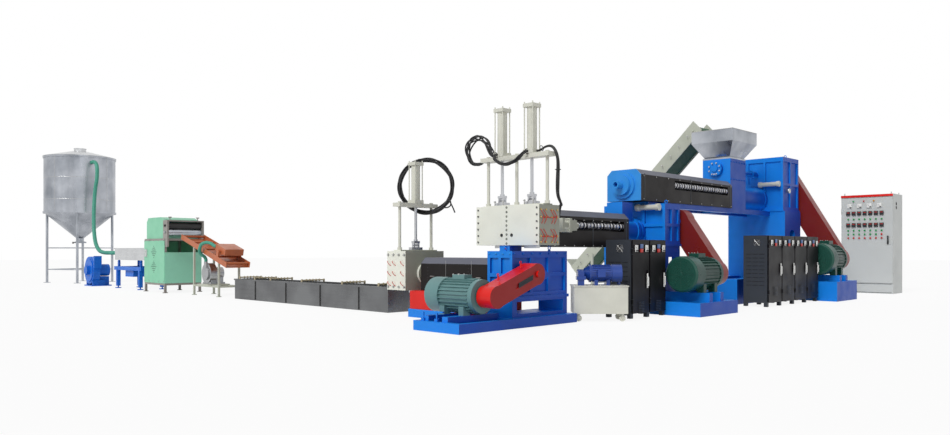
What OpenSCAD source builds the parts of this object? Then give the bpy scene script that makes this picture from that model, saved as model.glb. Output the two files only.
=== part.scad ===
// Plastic pelletizing line: three extruder stages, water tank, strand cutter, sieve and silo.
// The origin is the floor point under the crossing of the stage 3 screw axis (along X)
// and the screw axis of stages 2 and 1 (along Y). +X runs towards the stage 3 belt guard.

/* [Stage 3 extruder] */
// Height of the screw axis
s3_axis_z = 650; // [600:10:720]
// Top of the stage 3 base channels
s3_base_h = 125; // [80:5:160]
// Length of the barrel cover along X
s3_cover_l = 1490; // [1100:10:1490]
// Width of the barrel cover
s3_cover_w = 550; // [460:10:620]
// Height of the barrel cover
s3_cover_h = 500; // [440:10:520]
// Depth of the gearbox along X
s3_box_d = 450; // [350:10:450]
// Width of the gearbox along Y
s3_box_w = 1150; // [1000:10:1200]
// Top of the gearbox
s3_box_top = 1000; // [950:10:1000]
// Underside of the gearbox, on its slotted stand
s3_box_z = 360; // [300:10:400]
// Radius of the motor
s3_motor_r = 230; // [180:5:240]
// Length of the motor
s3_motor_l = 880; // [700:10:900]
// Distance of the motor axis from the screw axis, along Y
s3_motor_off = 1120; // [1080:10:1200]
// Height of the motor axis
s3_motor_z = 430; // [425:5:460]
// Radius of the belt guard's round ends
s3_guard_r = 140; // [110:5:160]
// Thickness of the belt guard
s3_guard_t = 240; // [160:10:300]
// Width of the screen changer block
s3_block_w = 800; // [740:10:900]
// Height of the screen changer block
s3_block_h = 610; // [500:10:640]
// Thickness of the screen changer block
s3_block_t = 450; // [300:10:480]

/* [Stage 2 extruder] */
// Height of the screw axis
s2_axis_z = 1330; // [1310:5:1360]
// Length of the barrel cover along Y
s2_cover_l = 1950; // [1500:10:1950]
// Width of the barrel cover
s2_cover_w = 580; // [480:10:640]
// Height of the barrel cover
s2_cover_h = 540; // [460:10:560]
// Width of the gearbox along X
s2_box_w = 1200; // [1000:10:1240]
// Depth of the gearbox along Y
s2_box_d = 470; // [360:10:470]
// Top of the gearbox
s2_box_top = 1780; // [1700:10:1780]
// Underside of the gearbox, on its stand
s2_box_z = 1080; // [1000:10:1080]
// Radius of the motor
s2_motor_r = 280; // [220:5:290]
// Length of the motor
s2_motor_l = 880; // [700:10:900]
// Distance of the motor axis from the screw axis, along X
s2_motor_off = 1120; // [1090:10:1200]
// Height of the motor axis
s2_motor_z = 640; // [630:5:700]
// Radius of the belt guard's round ends
s2_guard_r = 200; // [160:5:220]
// Thickness of the belt guard
s2_guard_t = 230; // [160:10:300]
// Width of the screen changer block
s2_block_w = 1180; // [1140:10:1300]
// Height of the screen changer block
s2_block_h = 550; // [480:10:560]
// Thickness of the screen changer block
s2_block_t = 430; // [300:10:440]

/* [Stage 1 extruder] */
// Length of the barrel cover along Y
s1_cover_l = 3200; // [2600:10:3200]
// Width of the barrel cover
s1_cover_w = 650; // [560:10:680]
// Height of the barrel cover
s1_cover_h = 520; // [440:10:530]
// Width of the gearbox along X
s1_box_w = 1160; // [1000:10:1200]
// Depth of the gearbox along Y
s1_box_d = 800; // [600:10:800]
// Top of the gearbox
s1_box_top = 2960; // [2940:10:3000]
// Top of the frame's rails, where the barrel and gearbox rest
s1_rail_top = 1830; // [1820:1:1835]
// Radius of the motor
s1_motor_r = 320; // [260:5:330]
// Length of the motor
s1_motor_l = 820; // [700:10:840]
// Distance of the motor axis from the screw axis, along X
s1_motor_off = 1280; // [1240:10:1300]
// Height of the motor axis
s1_motor_z = 840; // [830:5:880]
// Radius of the belt guard's round ends
s1_guard_r = 240; // [200:5:260]
// Thickness of the belt guard
s1_guard_t = 240; // [160:10:300]
// Top of the base beams
s1_beam_h = 470; // [380:10:490]

/* [Feed hopper and conveyor] */
// Width of the hopper's rim along X
hopper_w = 860; // [700:10:920]
// Length of the hopper's rim along Y
hopper_l = 1040; // [900:10:1100]
// Height of the hopper's straight band
hopper_band = 240; // [150:10:300]
// Height of the hopper's funnel
hopper_cone = 290; // [200:10:340]
// Sheet thickness of the hopper
hopper_wall = 10; // [6:1:20]
// Width of the conveyor between its side plates
belt_w = 540; // [400:10:600]
// Thickness of the conveyor belt
belt_t = 12; // [8:1:20]
// Radius of the conveyor's end drums
drum_r = 110; // [80:5:120]
// Height of the conveyor's side plates
side_h = 280; // [260:10:300]

/* [Screen changers] */
// Width of a screen slide
slide_w = 220; // [180:10:230]
// Thickness of a screen slide
slide_t = 80; // [50:5:100]
// Running gap between a slide and its slot
slide_gap = 5; // [5:1:8]
// Radius of a cylinder's rod
rod_r = 22; // [16:1:26]
// Radial clearance of rods, shafts and hinge pins in their bores
fit_gap = 0.3; // [0.1:0.1:0.5]
// Stroke of a screen slide
slide_stroke = 250; // [150:10:250]
// Radius of the gantry columns
column_r = 23; // [18:1:28]
// Radius of the hydraulic cylinders
cyl_r = 70; // [55:1:80]
// Height of the crosshead bar
cross_h = 60; // [40:5:80]

/* [Cooling tank] */
// Length of the water tank
tank_l = 5150; // [3000:50:5150]
// Outer width of the water tank
tank_w = 500; // [440:10:560]
// Height of the water tank
tank_h = 420; // [350:10:430]
// Sheet thickness of the tank
tank_wall = 12; // [6:1:20]

/* [Dewatering chute and cutter] */
// Horizontal length of the dewatering chute
chute_run = 2230; // [1800:10:2260]
// Width of the dewatering chute
chute_w = 550; // [480:10:600]
// Height of the chute's lower end
chute_low_z = 640; // [620:10:660]
// Height of the chute's upper end
chute_high_z = 1280; // [1260:10:1290]
// Length of the cutter along X
cutter_l = 1200; // [1150:10:1300]
// Width of the cutter along Y
cutter_w = 900; // [880:10:1000]
// Top of the cutter's lower body
cutter_z = 1300; // [1300:10:1340]
// Radius of the feed rollers
roller_r = 75; // [60:1:78]
// Side of the cutter's square frame tube
tube = 50; // [40:1:60]

/* [Sieve and silo] */
// Length of the sieve tray
sieve_l = 2250; // [2000:10:2300]
// Width of the sieve tray
sieve_w = 600; // [500:10:700]
// Outer diameter of the silo
silo_d = 2050; // [1900:10:2150]
// Sheet thickness of the silo
silo_wall = 12; // [8:1:20]
// Height of the silo's rim
silo_rim_z = 3980; // [3600:10:4200]
// Height of the lower edge of the silo's straight side
silo_cone_z = 2220; // [2200:10:2400]
// Height of the silo's outlet mouth
silo_mouth_z = 1290; // [1250:10:1300]
// Radius of the silo's outlet
outlet_r = 110; // [100:5:120]
// Radius of the conveying hose
hose_r = 55; // [50:1:60]

/* [Cabinets] */
// Sheet thickness of cabinet walls
cab_wall = 15; // [10:1:25]
// Thickness of a cabinet door
door_t = 18; // [12:1:25]
// Door pitch of the small heater cabinet
small_door_p = 475; // [400:5:475]
// Door pitch of the large heater cabinet
large_door_p = 580; // [450:5:580]
// Depth of the heater cabinets
heater_d = 460; // [380:10:470]
// Height of the small heater cabinet without its feet
small_h = 1100; // [900:10:1200]
// Height of the large heater cabinet without its feet
large_h = 1210; // [900:10:1300]
// Height of the heater cabinets' feet
cab_foot = 70; // [50:5:90]
// Width of the control cabinet
control_w = 1150; // [900:10:1200]
// Depth of the control cabinet
control_d = 700; // [500:10:750]
// Height of the control cabinet
control_h = 2340; // [2000:10:2400]
// Height of the control cabinet's plinth
control_plinth = 240; // [100:10:300]

/* [Hydraulic unit] */
// Width of the hydraulic tank
hyd_w = 760; // [600:10:780]
// Depth of the hydraulic tank
hyd_d = 460; // [380:10:480]
// Height of the hydraulic tank
hyd_h = 400; // [300:10:420]
// Radius of the casters
caster_r = 45; // [35:1:50]

/* [Hidden] */

$fn = 48;
// Overlap that fuses neighbouring solids of one piece
eps = 1;

// Stage 3 places along X
s3_box_x = 50;
s3_box_x1 = s3_box_x + s3_box_d;
s3_feed_x = -170;
s3_cover_x = s3_feed_x - s3_cover_l;
s3_block_x1 = s3_cover_x - 220;
s3_block_x0 = s3_block_x1 - s3_block_t;
s3_gantry_x = (s3_block_x0 + s3_block_x1) / 2;
s3_block_z0 = s3_axis_z - 260;
s3_block_z1 = s3_block_z0 + s3_block_h;
s3_guard_x = s3_box_x1 + 20;
s3_guard_top = [-360, s3_motor_z + 270];
s3_cross_z = 1700;
s3_cyl_l = 560;

// Stage 2 places along Y
s2_block_y0 = -140;
s2_block_y1 = s2_block_y0 + s2_block_t;
s2_gantry_y = (s2_block_y0 + s2_block_y1) / 2;
s2_block_z0 = s2_axis_z - 250;
s2_block_z1 = s2_block_z0 + s2_block_h;
s2_cover_y1 = 2450;
s2_cover_y0 = s2_cover_y1 - s2_cover_l;
s2_box_y = 3030;
s2_box_y1 = s2_box_y + s2_box_d;
s2_guard_y = s2_box_y1 + 60;
s2_guard_top = [520, s2_motor_z + 860];
s2_slide_off = 280;
s2_cross_z = 2290;
s2_cyl_l = 590;
s2_throat = [300, 300, 470];
s2_throat_y = 2470;

// Stage 1 places along Y
s1_axis_z = s1_rail_top + s1_cover_h / 2;
s1_cover_y1 = 5950;
s1_cover_y0 = s1_cover_y1 - s1_cover_l;
s1_feed_l = 650;
s1_box_y = 7700;
s1_box_y1 = s1_box_y + s1_box_d;
s1_guard_y = s1_box_y1 + 60;
s1_guard_top = [150, s1_motor_z + 1900];
s1_feed_top = 2800;
hopper_foot = [580, s1_feed_l];

// Belt conveyor, in its own plane
conv_y = 6400;
conv_tail = [-3500, 640];
conv_head = [-hopper_w / 2 - 170, s1_feed_top + hopper_cone + hopper_band + 110];
conv_run = norm(conv_head - conv_tail);
conv_tilt = atan2(conv_head[1] - conv_tail[1], conv_head[0] - conv_tail[0]);

// Left half of the line
tank_x1 = -2500;
tank_x0 = tank_x1 - tank_l;
tank_to_chute = 350;
chute_to_cutter = 500;
cutter_to_sieve = 190;
sieve_to_blower = 1610;
blower_to_silo = 3000;
chute_x1 = tank_x0 - tank_to_chute;
chute_x0 = chute_x1 - chute_run;
chute_tilt = atan2(chute_high_z - chute_low_z, chute_run);
cutter_x1 = chute_x0 - chute_to_cutter;
cutter_x0 = cutter_x1 - cutter_l;
roller_x = cutter_x1 + 40;
roller_low_z = cutter_z + 150;
roller_high_z = roller_low_z + 2 * roller_r + slide_gap;
sieve_x1 = cutter_x0 - cutter_to_sieve;
sieve_x0 = sieve_x1 - sieve_l;
sieve_z = 760;
sieve_h = 320;
blower_at = [sieve_x0 - sieve_to_blower, -350, 450];
silo_at = [blower_at[0] - blower_to_silo, 250];
leg_turn = 22;

// Cabinets
hinge_gap = 24;
hinge_r = 5;
knuckle_r = 9;
knuckle_l = 70;
small_at = [900, 1600, 0];
large_at = [1320, 5300, 0];
control_at = [460, 11380, 0];
hyd_at = [560, 665];
hyd_turn = 44;
hyd_z = 110;

// Routes of the hoses, as points chosen by hand
silo_side = silo_at[0] + silo_d / 2;
inlet_z = silo_rim_z - 220;
conveying_route = [
  [silo_side + 25, 250, inlet_z], [silo_side + 250, 250, inlet_z], [silo_side + 470, 240, inlet_z - 70],
  [-17330, 220, inlet_z - 240], [-17260, 190, 3200], [-17270, 150, 2900], [-17240, 110, 2500],
  [-17130, 60, 2050], [-16950, 10, 1600], [-16700, -30, 1250], [-16350, -50, 1030],
  [-15950, -60, 960], [-15500, -60, 950], [sieve_x0 - 600, -60, 950], [sieve_x0 - 300, -60, 950],
  [sieve_x0 - 40, -60, 950]];
suction_route = [
  [-9140, -180, 760.3], [-9140, -180, 785], [-9140, -180, 810], [-9138, -215, 870],
  [-9128, -290, 920], [-9100, -340, 985], [-9050, -362, 1065], [-8990, -350, 1150], [-8900, -290, 1190],
  [-8800, -230, 1170], [-8700, -205, 1122], [-8602, -200, 1094]];
left_bundle = [
  [-370.3, 75, 2386], [-400, 75, 2386], [-430, 75, 2386], [-465, 80, 2394], [-520, 100, 2450],
  [-605, 112, 2590],
  [-720, 80, 2690], [-850, 20, 2650], [-910, -20, 2500], [-870, -10, 2340],
  [-770, 40, 2260], [-675, 75, 2300]];
front_bundle = [
  [-300, -15.3, 2378], [-300, -30, 2378], [-300, -45, 2378], [-290, -85, 2355], [-255, -112, 2300],
  [-170, -120, 2240], [-20, -115, 2205], [130, -118, 2240], [225, -112, 2300], [268, -85, 2355],
  [280, -45, 2378], [280, -30, 2378], [280, -15.3, 2378]];
side_bundle = [
  [370.3, 75, 2378], [395, 75, 2378], [420, 75, 2378], [520, 90, 2430], [620, 100, 2430], [690, 105, 2340],
  [715, 110, 2200], [705, 110, 1950], [690, 130, 1760], [670, 200, 1670], [600, 320, 1645],
  [500, 430, 1640], [410, 520, 1600], [374, 558, 1540], [370, 565, 1472]];

// Unit vector from a to b
function unit(a, b) = (b - a) / norm(b - a);
// Direction of a route at its point i
function heading(p, i) =
  i == 0 ? unit(p[0], p[1]) : i == len(p) - 1 ? unit(p[i - 1], p[i]) : unit(p[i - 1], p[i + 1]);
// Vector square to direction t, carried on from u
function carry(u, t) = let (w = u - (u * t) * t) w / norm(w);
// Side vectors of all points of a route
function sides(p, i, u) =
  i == len(p) ? [] : let (v = carry(u, heading(p, i))) concat([v], sides(p, i + 1, v));
// Point between b and c on a smooth curve through a, b, c and d
function smooth(a, b, c, d, t) =
  0.5 * (2 * b + (c - a) * t + (2 * a - 5 * b + 4 * c - d) * t * t + (3 * b - a - 3 * c + d) * t * t * t);
// A route with n steps between its points
function refine(p, n) = concat(
  [for (i = [0:len(p) - 2], k = [0:n - 1])
    smooth(p[max(i - 1, 0)], p[i], p[i + 1], p[min(i + 2, len(p) - 1)], k / n)], [p[len(p) - 1]]);

// Round tube swept along a route
module swept(route, r, steps = 1, around = 8) {
  p = refine(route, steps);
  u = sides(p, 0, [0.3, 0.9, 0.2]);
  rings = [for (i = [0:len(p) - 1]) let (t = heading(p, i), v = cross(t, u[i]))
    for (k = [0:around - 1]) p[i] + r * (cos(360 * k / around) * u[i] + sin(360 * k / around) * v)];
  last = (len(p) - 1) * around;
  polyhedron(rings, concat(
    [[for (k = [0:around - 1]) k]],
    [for (i = [0:len(p) - 2], k = [0:around - 1]) let (a = i * around + k, b = i * around + (k + 1) % around)
      [a, a + around, b + around, b]],
    [[for (k = [around - 1:-1:0]) last + k]]));
}

// Box given by its low and high corners
module slab(a, b) { translate(a) cube(b - a); }

// Cylinder along Y from y0 to y1
module ycyl(x, y0, y1, z, r) { translate([x, y1, z]) rotate([90, 0, 0]) cylinder(h = y1 - y0, r = r); }

// Cylinder along X from x0 to x1
module xcyl(x0, x1, y, z, r) { translate([x0, y, z]) rotate([0, 90, 0]) cylinder(h = x1 - x0, r = r); }

// Grid of recesses in the XZ plane, cut d deep towards +Y from y = 0
module recesses(w, h, n, m, d, rim = 50) {
  pw = (w - rim * (n + 1)) / n;
  ph = (h - rim * (m + 1)) / m;
  for (i = [0:n - 1], k = [0:m - 1])
    translate([rim + i * (pw + rim), -eps, rim + k * (ph + rim)]) cube([pw, d + eps, ph]);
}

// Lifting eye standing on z = 0
module eye_bolt() {
  cylinder(h = 16, r = 20);
  translate([0, 0, 42]) rotate([90, 0, 0]) rotate_extrude() translate([24, 0]) circle(r = 7, $fn = 16);
}

// Welded gear housing with recessed panels, w along X, d along Y and h high
module gear_housing(w, d, h, n, m) {
  lip = 18;
  difference() {
    cube([w, d, h]);
    translate([0, 0, 40]) recesses(w, h - 80, n, m, 30);
    translate([w, d, 40]) rotate([0, 0, 180]) recesses(w, h - 80, n, m, 30);
    translate([w, 0, 40]) rotate([0, 0, 90]) recesses(d, h - 80, 2, 2, 30);
    translate([0, d, 40]) rotate([0, 0, 270]) recesses(d, h - 80, 2, 2, 30);
  }
  translate([-lip, -lip, 0]) cube([w + 2 * lip, d + 2 * lip, 40]);
  for (x = [120, w - 120]) translate([x, d / 2, h]) eye_bolt();
}

// Finned motor along +X: shaft side at x = 0, fan side at x = -l, feet at z = -foot
module finned_motor(l, r, foot, shaft) {
  fins = 28;
  xcyl(-0.08 * l, 0, 0, 0, 0.93 * r);
  xcyl(-0.72 * l, -0.07 * l, 0, 0, 0.88 * r);
  for (i = [0:fins - 1]) rotate([360 * (i + 0.5) / fins, 0, 0])
    slab([-0.7 * l, 0.8 * r, -4], [-0.09 * l, 0.98 * r, 4]);
  xcyl(-0.97 * l, -0.69 * l, 0, 0, r);
  translate([-l, 0, 0]) rotate([0, 90, 0]) cylinder(h = 0.035 * l, r1 = 0.9 * r, r2 = r);
  xcyl(-eps, shaft, 0, 0, 0.14 * r);
  for (x = [-0.62 * l, -0.22 * l]) for (s = [-1, 1])
    slab([x - 45, s * 0.62 * r - 55, -foot], [x + 45, s * 0.62 * r + 55, -0.55 * r]);
  slab([-0.55 * l, -0.3 * r, 0.8 * r], [-0.3 * l, 0.3 * r, 1.16 * r]);
}

// Flat belt guard in the XY plane between centres a and b, t thick
module belt_case(a, b, r, t) {
  run = norm(b - a);
  turn = atan2(b[1] - a[1], b[0] - a[0]);
  difference() {
    linear_extrude(t) {
      translate(a) circle(r);
      translate(b) circle(r);
      translate(a) rotate(turn) translate([0, -0.94 * r]) square([run, 1.88 * r]);
    }
    translate([a[0], a[1], t - 12]) rotate([0, 0, turn]) translate([0.42 * run, -0.2 * r, 0])
      cube([0.42 * run, 0.4 * r, 12 + eps]);
  }
  translate([b[0], b[1], t - eps]) cylinder(h = 30, r = 0.3 * r);
}

// Octagonal outline of a barrel cover, centred
module cover_outline(w, h, cut) {
  polygon([[-w / 2, -h / 2], [w / 2, -h / 2], [w / 2, h / 2 - cut], [w / 2 - cut, h / 2],
    [-w / 2 + cut, h / 2], [-w / 2, h / 2 - cut]]);
}

// Barrel cover along +Y from y = 0, with a long recess in its +X side
module barrel_cover(l, w, h, vent_y0, vent_y1) {
  difference() {
    translate([0, l, 0]) rotate([90, 0, 0]) linear_extrude(l) cover_outline(w, h, 90);
    slab([w / 2 - 110, vent_y0, -0.05 * h], [w / 2 + eps, vent_y1, 0.25 * h]);
  }
}

// Ribbed duct along Y
module ribbed_duct(l, r) {
  ycyl(0, 0, l, 0, r - 12);
  n = floor(l / 60);
  for (i = [0:n - 1]) ycyl(0, (i + 0.25) * l / n, (i + 0.75) * l / n, 0, r);
}

// Columns, crosshead and cylinders over a changer, in the XZ plane about x = 0, from z0 up
module gantry(column_xs, rod_xs, half_w, z0, z1, cyl_l) {
  cap = 2 * cyl_r + 40;
  cross_d = 170;
  for (x = column_xs) {
    translate([x, 0, z0]) cylinder(h = z1 - z0 + eps, r = column_r);
    translate([x, 0, z0]) cylinder(h = 40, r = 1.6 * column_r);
    translate([x, 0, z1 + cross_h - eps]) cylinder(h = 24, r = 1.3 * column_r, $fn = 6);
  }
  difference() {
    union() {
      slab([-half_w, -cross_d / 2, z1], [half_w, cross_d / 2, z1 + cross_h]);
      for (x = rod_xs) translate([x, 0, z1 + cross_h - eps]) {
        slab([-cap / 2, -cap / 2, 0], [cap / 2, cap / 2, 55]);
        translate([0, 0, 54]) cylinder(h = cyl_l, r = cyl_r);
        slab([-cap / 2, -cap / 2, cyl_l + 50], [cap / 2, cap / 2, cyl_l + 100]);
        for (a = [-1, 1], b = [-1, 1]) translate([a * (cap / 2 - 16), b * (cap / 2 - 16), 50])
          cylinder(h = cyl_l + 75, r = 9, $fn = 16);
      }
    }
    for (x = rod_xs) translate([x, 0, z1 - eps]) cylinder(h = cyl_l + 60, r = rod_r + fit_gap);
  }
}

// Screen slide with clevis and rod: the plate hangs from z = 0, width along X
module screen_slide(plate_l, rod_l) {
  difference() {
    slab([-slide_w / 2, -slide_t / 2, -plate_l], [slide_w / 2, slide_t / 2, 0]);
    translate([0, slide_t, -0.8 * plate_l]) rotate([90, 0, 0]) cylinder(h = 2 * slide_t, r = 0.3 * slide_w);
  }
  for (s = [-1, 1]) slab([s * 42 - 12, -30, -eps], [s * 42 + 12, 30, 70]);
  slab([-60, -34, 66], [60, 34, 100]);
  xcyl(-70, 70, 0, 34, 12);
  translate([0, 0, 99]) cylinder(h = 26, r = 1.5 * rod_r);
  translate([0, 0, 99]) cylinder(h = rod_l, r = rod_r);
}

// Cabinet shell facing +X: its front's low corner is the origin, doors along +Y
module cabinet_shell(pitch, doors, d, h, z0) {
  w = pitch * doors;
  back = -d + door_t + 5;
  difference() {
    slab([-d, 0, z0], [-door_t - 5, w, z0 + h]);
    slab([-d + cab_wall, cab_wall, z0 + cab_wall], [eps, w - cab_wall, z0 + h - cab_wall]);
  }
  for (i = [0:doors - 1]) {
    post_y = max(i * pitch - hinge_gap / 2, 0);
    slab([-door_t - 45, post_y, z0 + cab_wall - eps],
      [-door_t - 5, i * pitch + hinge_gap / 2 + 12, z0 + h - cab_wall + eps]);
    for (f = [0.16, 0.84]) translate([10, i * pitch + hinge_gap / 2, z0 + f * h]) hinge_half();
  }
}

// Two lugs and the pin of one hinge, about the pin's axis, reaching back to the cabinet
module hinge_half() {
  for (s = [-1, 1]) {
    z = s > 0 ? knuckle_l / 2 + fit_gap : -knuckle_l / 2 - fit_gap - 10;
    slab([-door_t - 17, -6, z], [0, 6, z + 10]);
    translate([0, 0, z]) cylinder(h = 10, r = 6);
  }
  translate([0, 0, -knuckle_l / 2 - 5]) cylinder(h = knuckle_l + 10, r = hinge_r);
}

// Door i of a cabinet, facing +X, with its knuckles and handle
module cabinet_door(i, pitch, h, z0, door_z0, door_z1, handle_z) {
  y0 = i * pitch + hinge_gap / 2 + 14;
  y1 = (i + 1) * pitch - hinge_gap / 2 + 4;
  axis_y = i * pitch + hinge_gap / 2;
  slab([-door_t, y0, door_z0], [0, y1, door_z1]);
  for (f = [0.16, 0.84]) translate([10, axis_y, z0 + f * h]) difference() {
    union() {
      translate([0, 0, -knuckle_l / 2]) cylinder(h = knuckle_l, r = knuckle_r);
      slab([-11, 4, -knuckle_l / 2], [-1, 44, knuckle_l / 2]);
      slab([-8, 0, -knuckle_l / 2], [0, 20, knuckle_l / 2]);
    }
    translate([0, 0, -knuckle_l]) cylinder(h = 2 * knuckle_l, r = hinge_r + fit_gap);
  }
  slab([-eps, y1 - 60, handle_z], [22, y1 - 36, handle_z + 160]);
}

// Open trough or tray: outer box less its inside, open at the top
module trough(a, b, wall) {
  difference() {
    slab(a, b);
    slab(a + [wall, wall, wall], [b.x - wall, b.y - wall, b.z + eps]);
  }
}

// Four-sided shell funnel between a lower and an upper rectangle
module funnel(lo, hi, h, wall) {
  function corners(w, l, z) = [[-w / 2, -l / 2, z], [w / 2, -l / 2, z], [w / 2, l / 2, z], [-w / 2, l / 2, z]];
  quads = [[0, 1, 2, 3], [4, 5, 1, 0], [5, 6, 2, 1], [6, 7, 3, 2], [7, 4, 0, 3], [7, 6, 5, 4]];
  slope = 2 * wall;
  difference() {
    polyhedron(concat(corners(lo[0], lo[1], 0), corners(hi[0], hi[1], h)), quads);
    polyhedron(concat(
      corners(lo[0] - slope - (hi[0] - lo[0]) * eps / h, lo[1] - slope - (hi[1] - lo[1]) * eps / h, -eps),
      corners(hi[0] - slope + (hi[0] - lo[0]) * eps / h, hi[1] - slope + (hi[1] - lo[1]) * eps / h, h + eps)),
      quads);
  }
}

// Silo shell with cone and outlet pipe, turned as one profile
module silo_shell() {
  r = silo_d / 2;
  w = silo_wall;
  color("silver") translate([silo_at[0], silo_at[1], 0]) {
    rotate_extrude($fn = 96) polygon([
      [outlet_r, silo_mouth_z], [outlet_r, silo_mouth_z + 120], [r, silo_cone_z], [r, silo_rim_z],
      [r - w, silo_rim_z], [r - w, silo_cone_z + 5], [outlet_r - w, silo_mouth_z + 125],
      [outlet_r - w, silo_mouth_z]]);
    translate([0, 0, silo_cone_z - 30]) rotate_extrude($fn = 96) translate([r - eps, 0]) square([26, 60]);
    translate([0, 0, silo_rim_z - 50]) rotate_extrude($fn = 96) translate([r - eps, 0]) square([20, 50]);
    difference() {
      xcyl(r - 40, r + 60, 0, silo_rim_z - 220, hose_r + 14);
      translate([0, 0, silo_rim_z - 600]) cylinder(h = 600, r = r - 6, $fn = 96);
      xcyl(r - 60, r + 80, 0, silo_rim_z - 220, hose_r + 2);
    }
    difference() {
      translate([0, 0, silo_mouth_z]) cylinder(h = 18, r = outlet_r + 40);
      translate([0, 0, silo_mouth_z - eps]) cylinder(h = 30, r = outlet_r - w);
    }
    for (s = [-1, 1]) {
      slab([s * (outlet_r + 28) - 13, -140, silo_mouth_z - 35], [s * (outlet_r + 28) + 13, 140, silo_mouth_z + 5]);
      slab([s * (outlet_r + 18) - 23, -140, silo_mouth_z - 35], [s * (outlet_r + 18) + 23, 140, silo_mouth_z - 15.3]);
    }
  }
}

// Low conical roof with its collar
module silo_roof() {
  r = silo_d / 2 + 30;
  color("gainsboro") translate([silo_at[0], silo_at[1], silo_rim_z]) rotate_extrude($fn = 96)
    polygon([[0, 310], [185, 310], [185, 290], [172, 290], [172, 228], [r, 14], [r, 0], [r - 30, 0],
      [158, 208], [158, 290], [0, 290]]);
}

// One silo leg with its foot plate, at angle a
module silo_leg(a) {
  rotate([0, 0, a]) {
    translate([silo_d / 2 - 95, 0, 12]) cylinder(h = silo_cone_z - 12, r = 38, $fn = 32);
    translate([silo_d / 2 - 95, 0, 0]) cylinder(h = 14, r = 100, $fn = 32);
  }
}

// Four legs cut to the silo's cone and tied by two rings of braces
module silo_legs() {
  r = silo_d / 2 - 95;
  color("silver") translate([silo_at[0], silo_at[1], 0]) {
    difference() {
      for (a = [0:90:270]) silo_leg(a - leg_turn);
      rotate_extrude($fn = 96) polygon([[0, silo_mouth_z + 120], [outlet_r, silo_mouth_z + 120],
        [silo_d / 2, silo_cone_z], [silo_d / 2, silo_cone_z + 50], [0, silo_cone_z + 50]]);
    }
    for (a = [0:90:270], z = [420, 1100]) rotate([0, 0, a - leg_turn])
      translate([r, 0, z]) rotate([0, 0, 135]) rotate([0, 90, 0]) cylinder(h = sqrt(2) * r, r = 16, $fn = 16);
  }
}

// Slide gate under the outlet, drawn out along -Y between the outlet's rails
module silo_slide_gate() {
  color("dimgray") translate([silo_at[0], silo_at[1], silo_mouth_z - 15]) {
    slab([-outlet_r - 10, -outlet_r - 90, 0], [outlet_r + 10, outlet_r + 10, 10]);
    slab([-60, -outlet_r - 110, -40], [60, -outlet_r - 89, 20]);
  }
}

// Hose that blows the pellets from the sieve up to the silo
module conveying_hose() {
  color("seagreen") swept(conveying_route, hose_r, 2, 8);
}

// Round fan casing with its foot and tangential mouth
module conveying_blower() {
  r = 390;
  x = blower_at.x;
  y = blower_at.y;
  z = blower_at.z;
  color("royalblue") {
    ycyl(x, y - 90, y + 90, z, r);
    ycyl(x, y - 110, y - 89, z, r - 60);
    ycyl(x, y - 190, y - 109, z, 130);
    slab([x - 60, y - 80, z - 20], [x + r, y + 80, z + r]);
    slab([x + r - eps, y - 100, z + 60], [x + r + 60, y + 100, z + r + 20]);
    for (s = [-1, 1]) slab([x + s * 230 - 30, y - 80, 0], [x + s * 230 + 30, y + 260, z - 280]);
    slab([x - 320, y - 120, 0], [x + 320, y + 420, 30]);
    slab([x - 160, y + 130, 29], [x + 160, y + 400, z - 180]);
    ycyl(x, y + 89, y + 430, z, 170);
  }
}

// Sieve tray of sheet, with two cross decks and end lips
module sieve_tray() {
  w = sieve_w / 2;
  color("silver") {
    trough([sieve_x0, -w, sieve_z], [sieve_x1, w, sieve_z + sieve_h], 12);
    for (f = [0.3, 0.6]) slab([sieve_x0 + f * sieve_l, -w + 11, sieve_z + 11],
      [sieve_x0 + f * sieve_l + 20, w - 11, sieve_z + 150]);
    slab([sieve_x1 - 330, -w + 90, sieve_z - 180], [sieve_x1 - 90, w - 90, sieve_z + eps]);
    slab([sieve_x0 - 25, -w - 20, sieve_z + sieve_h - 25], [sieve_x0 + eps, w + 20, sieve_z + sieve_h]);
    difference() {
      xcyl(sieve_x0 - 120, sieve_x0 + eps, -60, 950, hose_r + 14);
      xcyl(sieve_x0 - 121, sieve_x0 - 39, -60, 950, hose_r + fit_gap);
    }
  }
}

// Sieve frame with legs, levelling feet and springs
module sieve_frame() {
  w = sieve_w / 2;
  top = sieve_z - 170;
  color("royalblue") {
    for (s = [-1, 1]) slab([sieve_x0, s * (w - 20) - 40, top - 100], [sieve_x1 - 400, s * (w - 20) + 40, top]);
    for (x = [sieve_x0 + 200, sieve_x1 - 520]) {
      slab([x - 40, -w - 20, top - 100], [x + 40, w + 20, top]);
      for (s = [-1, 1]) {
        slab([x - 45, s * (w - 20) - 45, 60], [x + 45, s * (w - 20) + 45, top - 50]);
        translate([x, s * (w - 20), 20]) cylinder(h = 45, r = 16, $fn = 16);
        translate([x, s * (w - 20), 0]) cylinder(h = 21, r = 75, $fn = 32);
        translate([x, s * (w - 40), top - eps]) cylinder(h = 171, r = 28, $fn = 24);
        for (k = [0:4]) translate([x, s * (w - 40), top + 14 + k * 30]) rotate_extrude($fn = 24)
          translate([34, 0]) circle(r = 8, $fn = 16);
      }
    }
    slab([sieve_x0 + 600, -w + 60, 320], [sieve_x0 + 1150, w - 60, top - 99]);
  }
}

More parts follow.
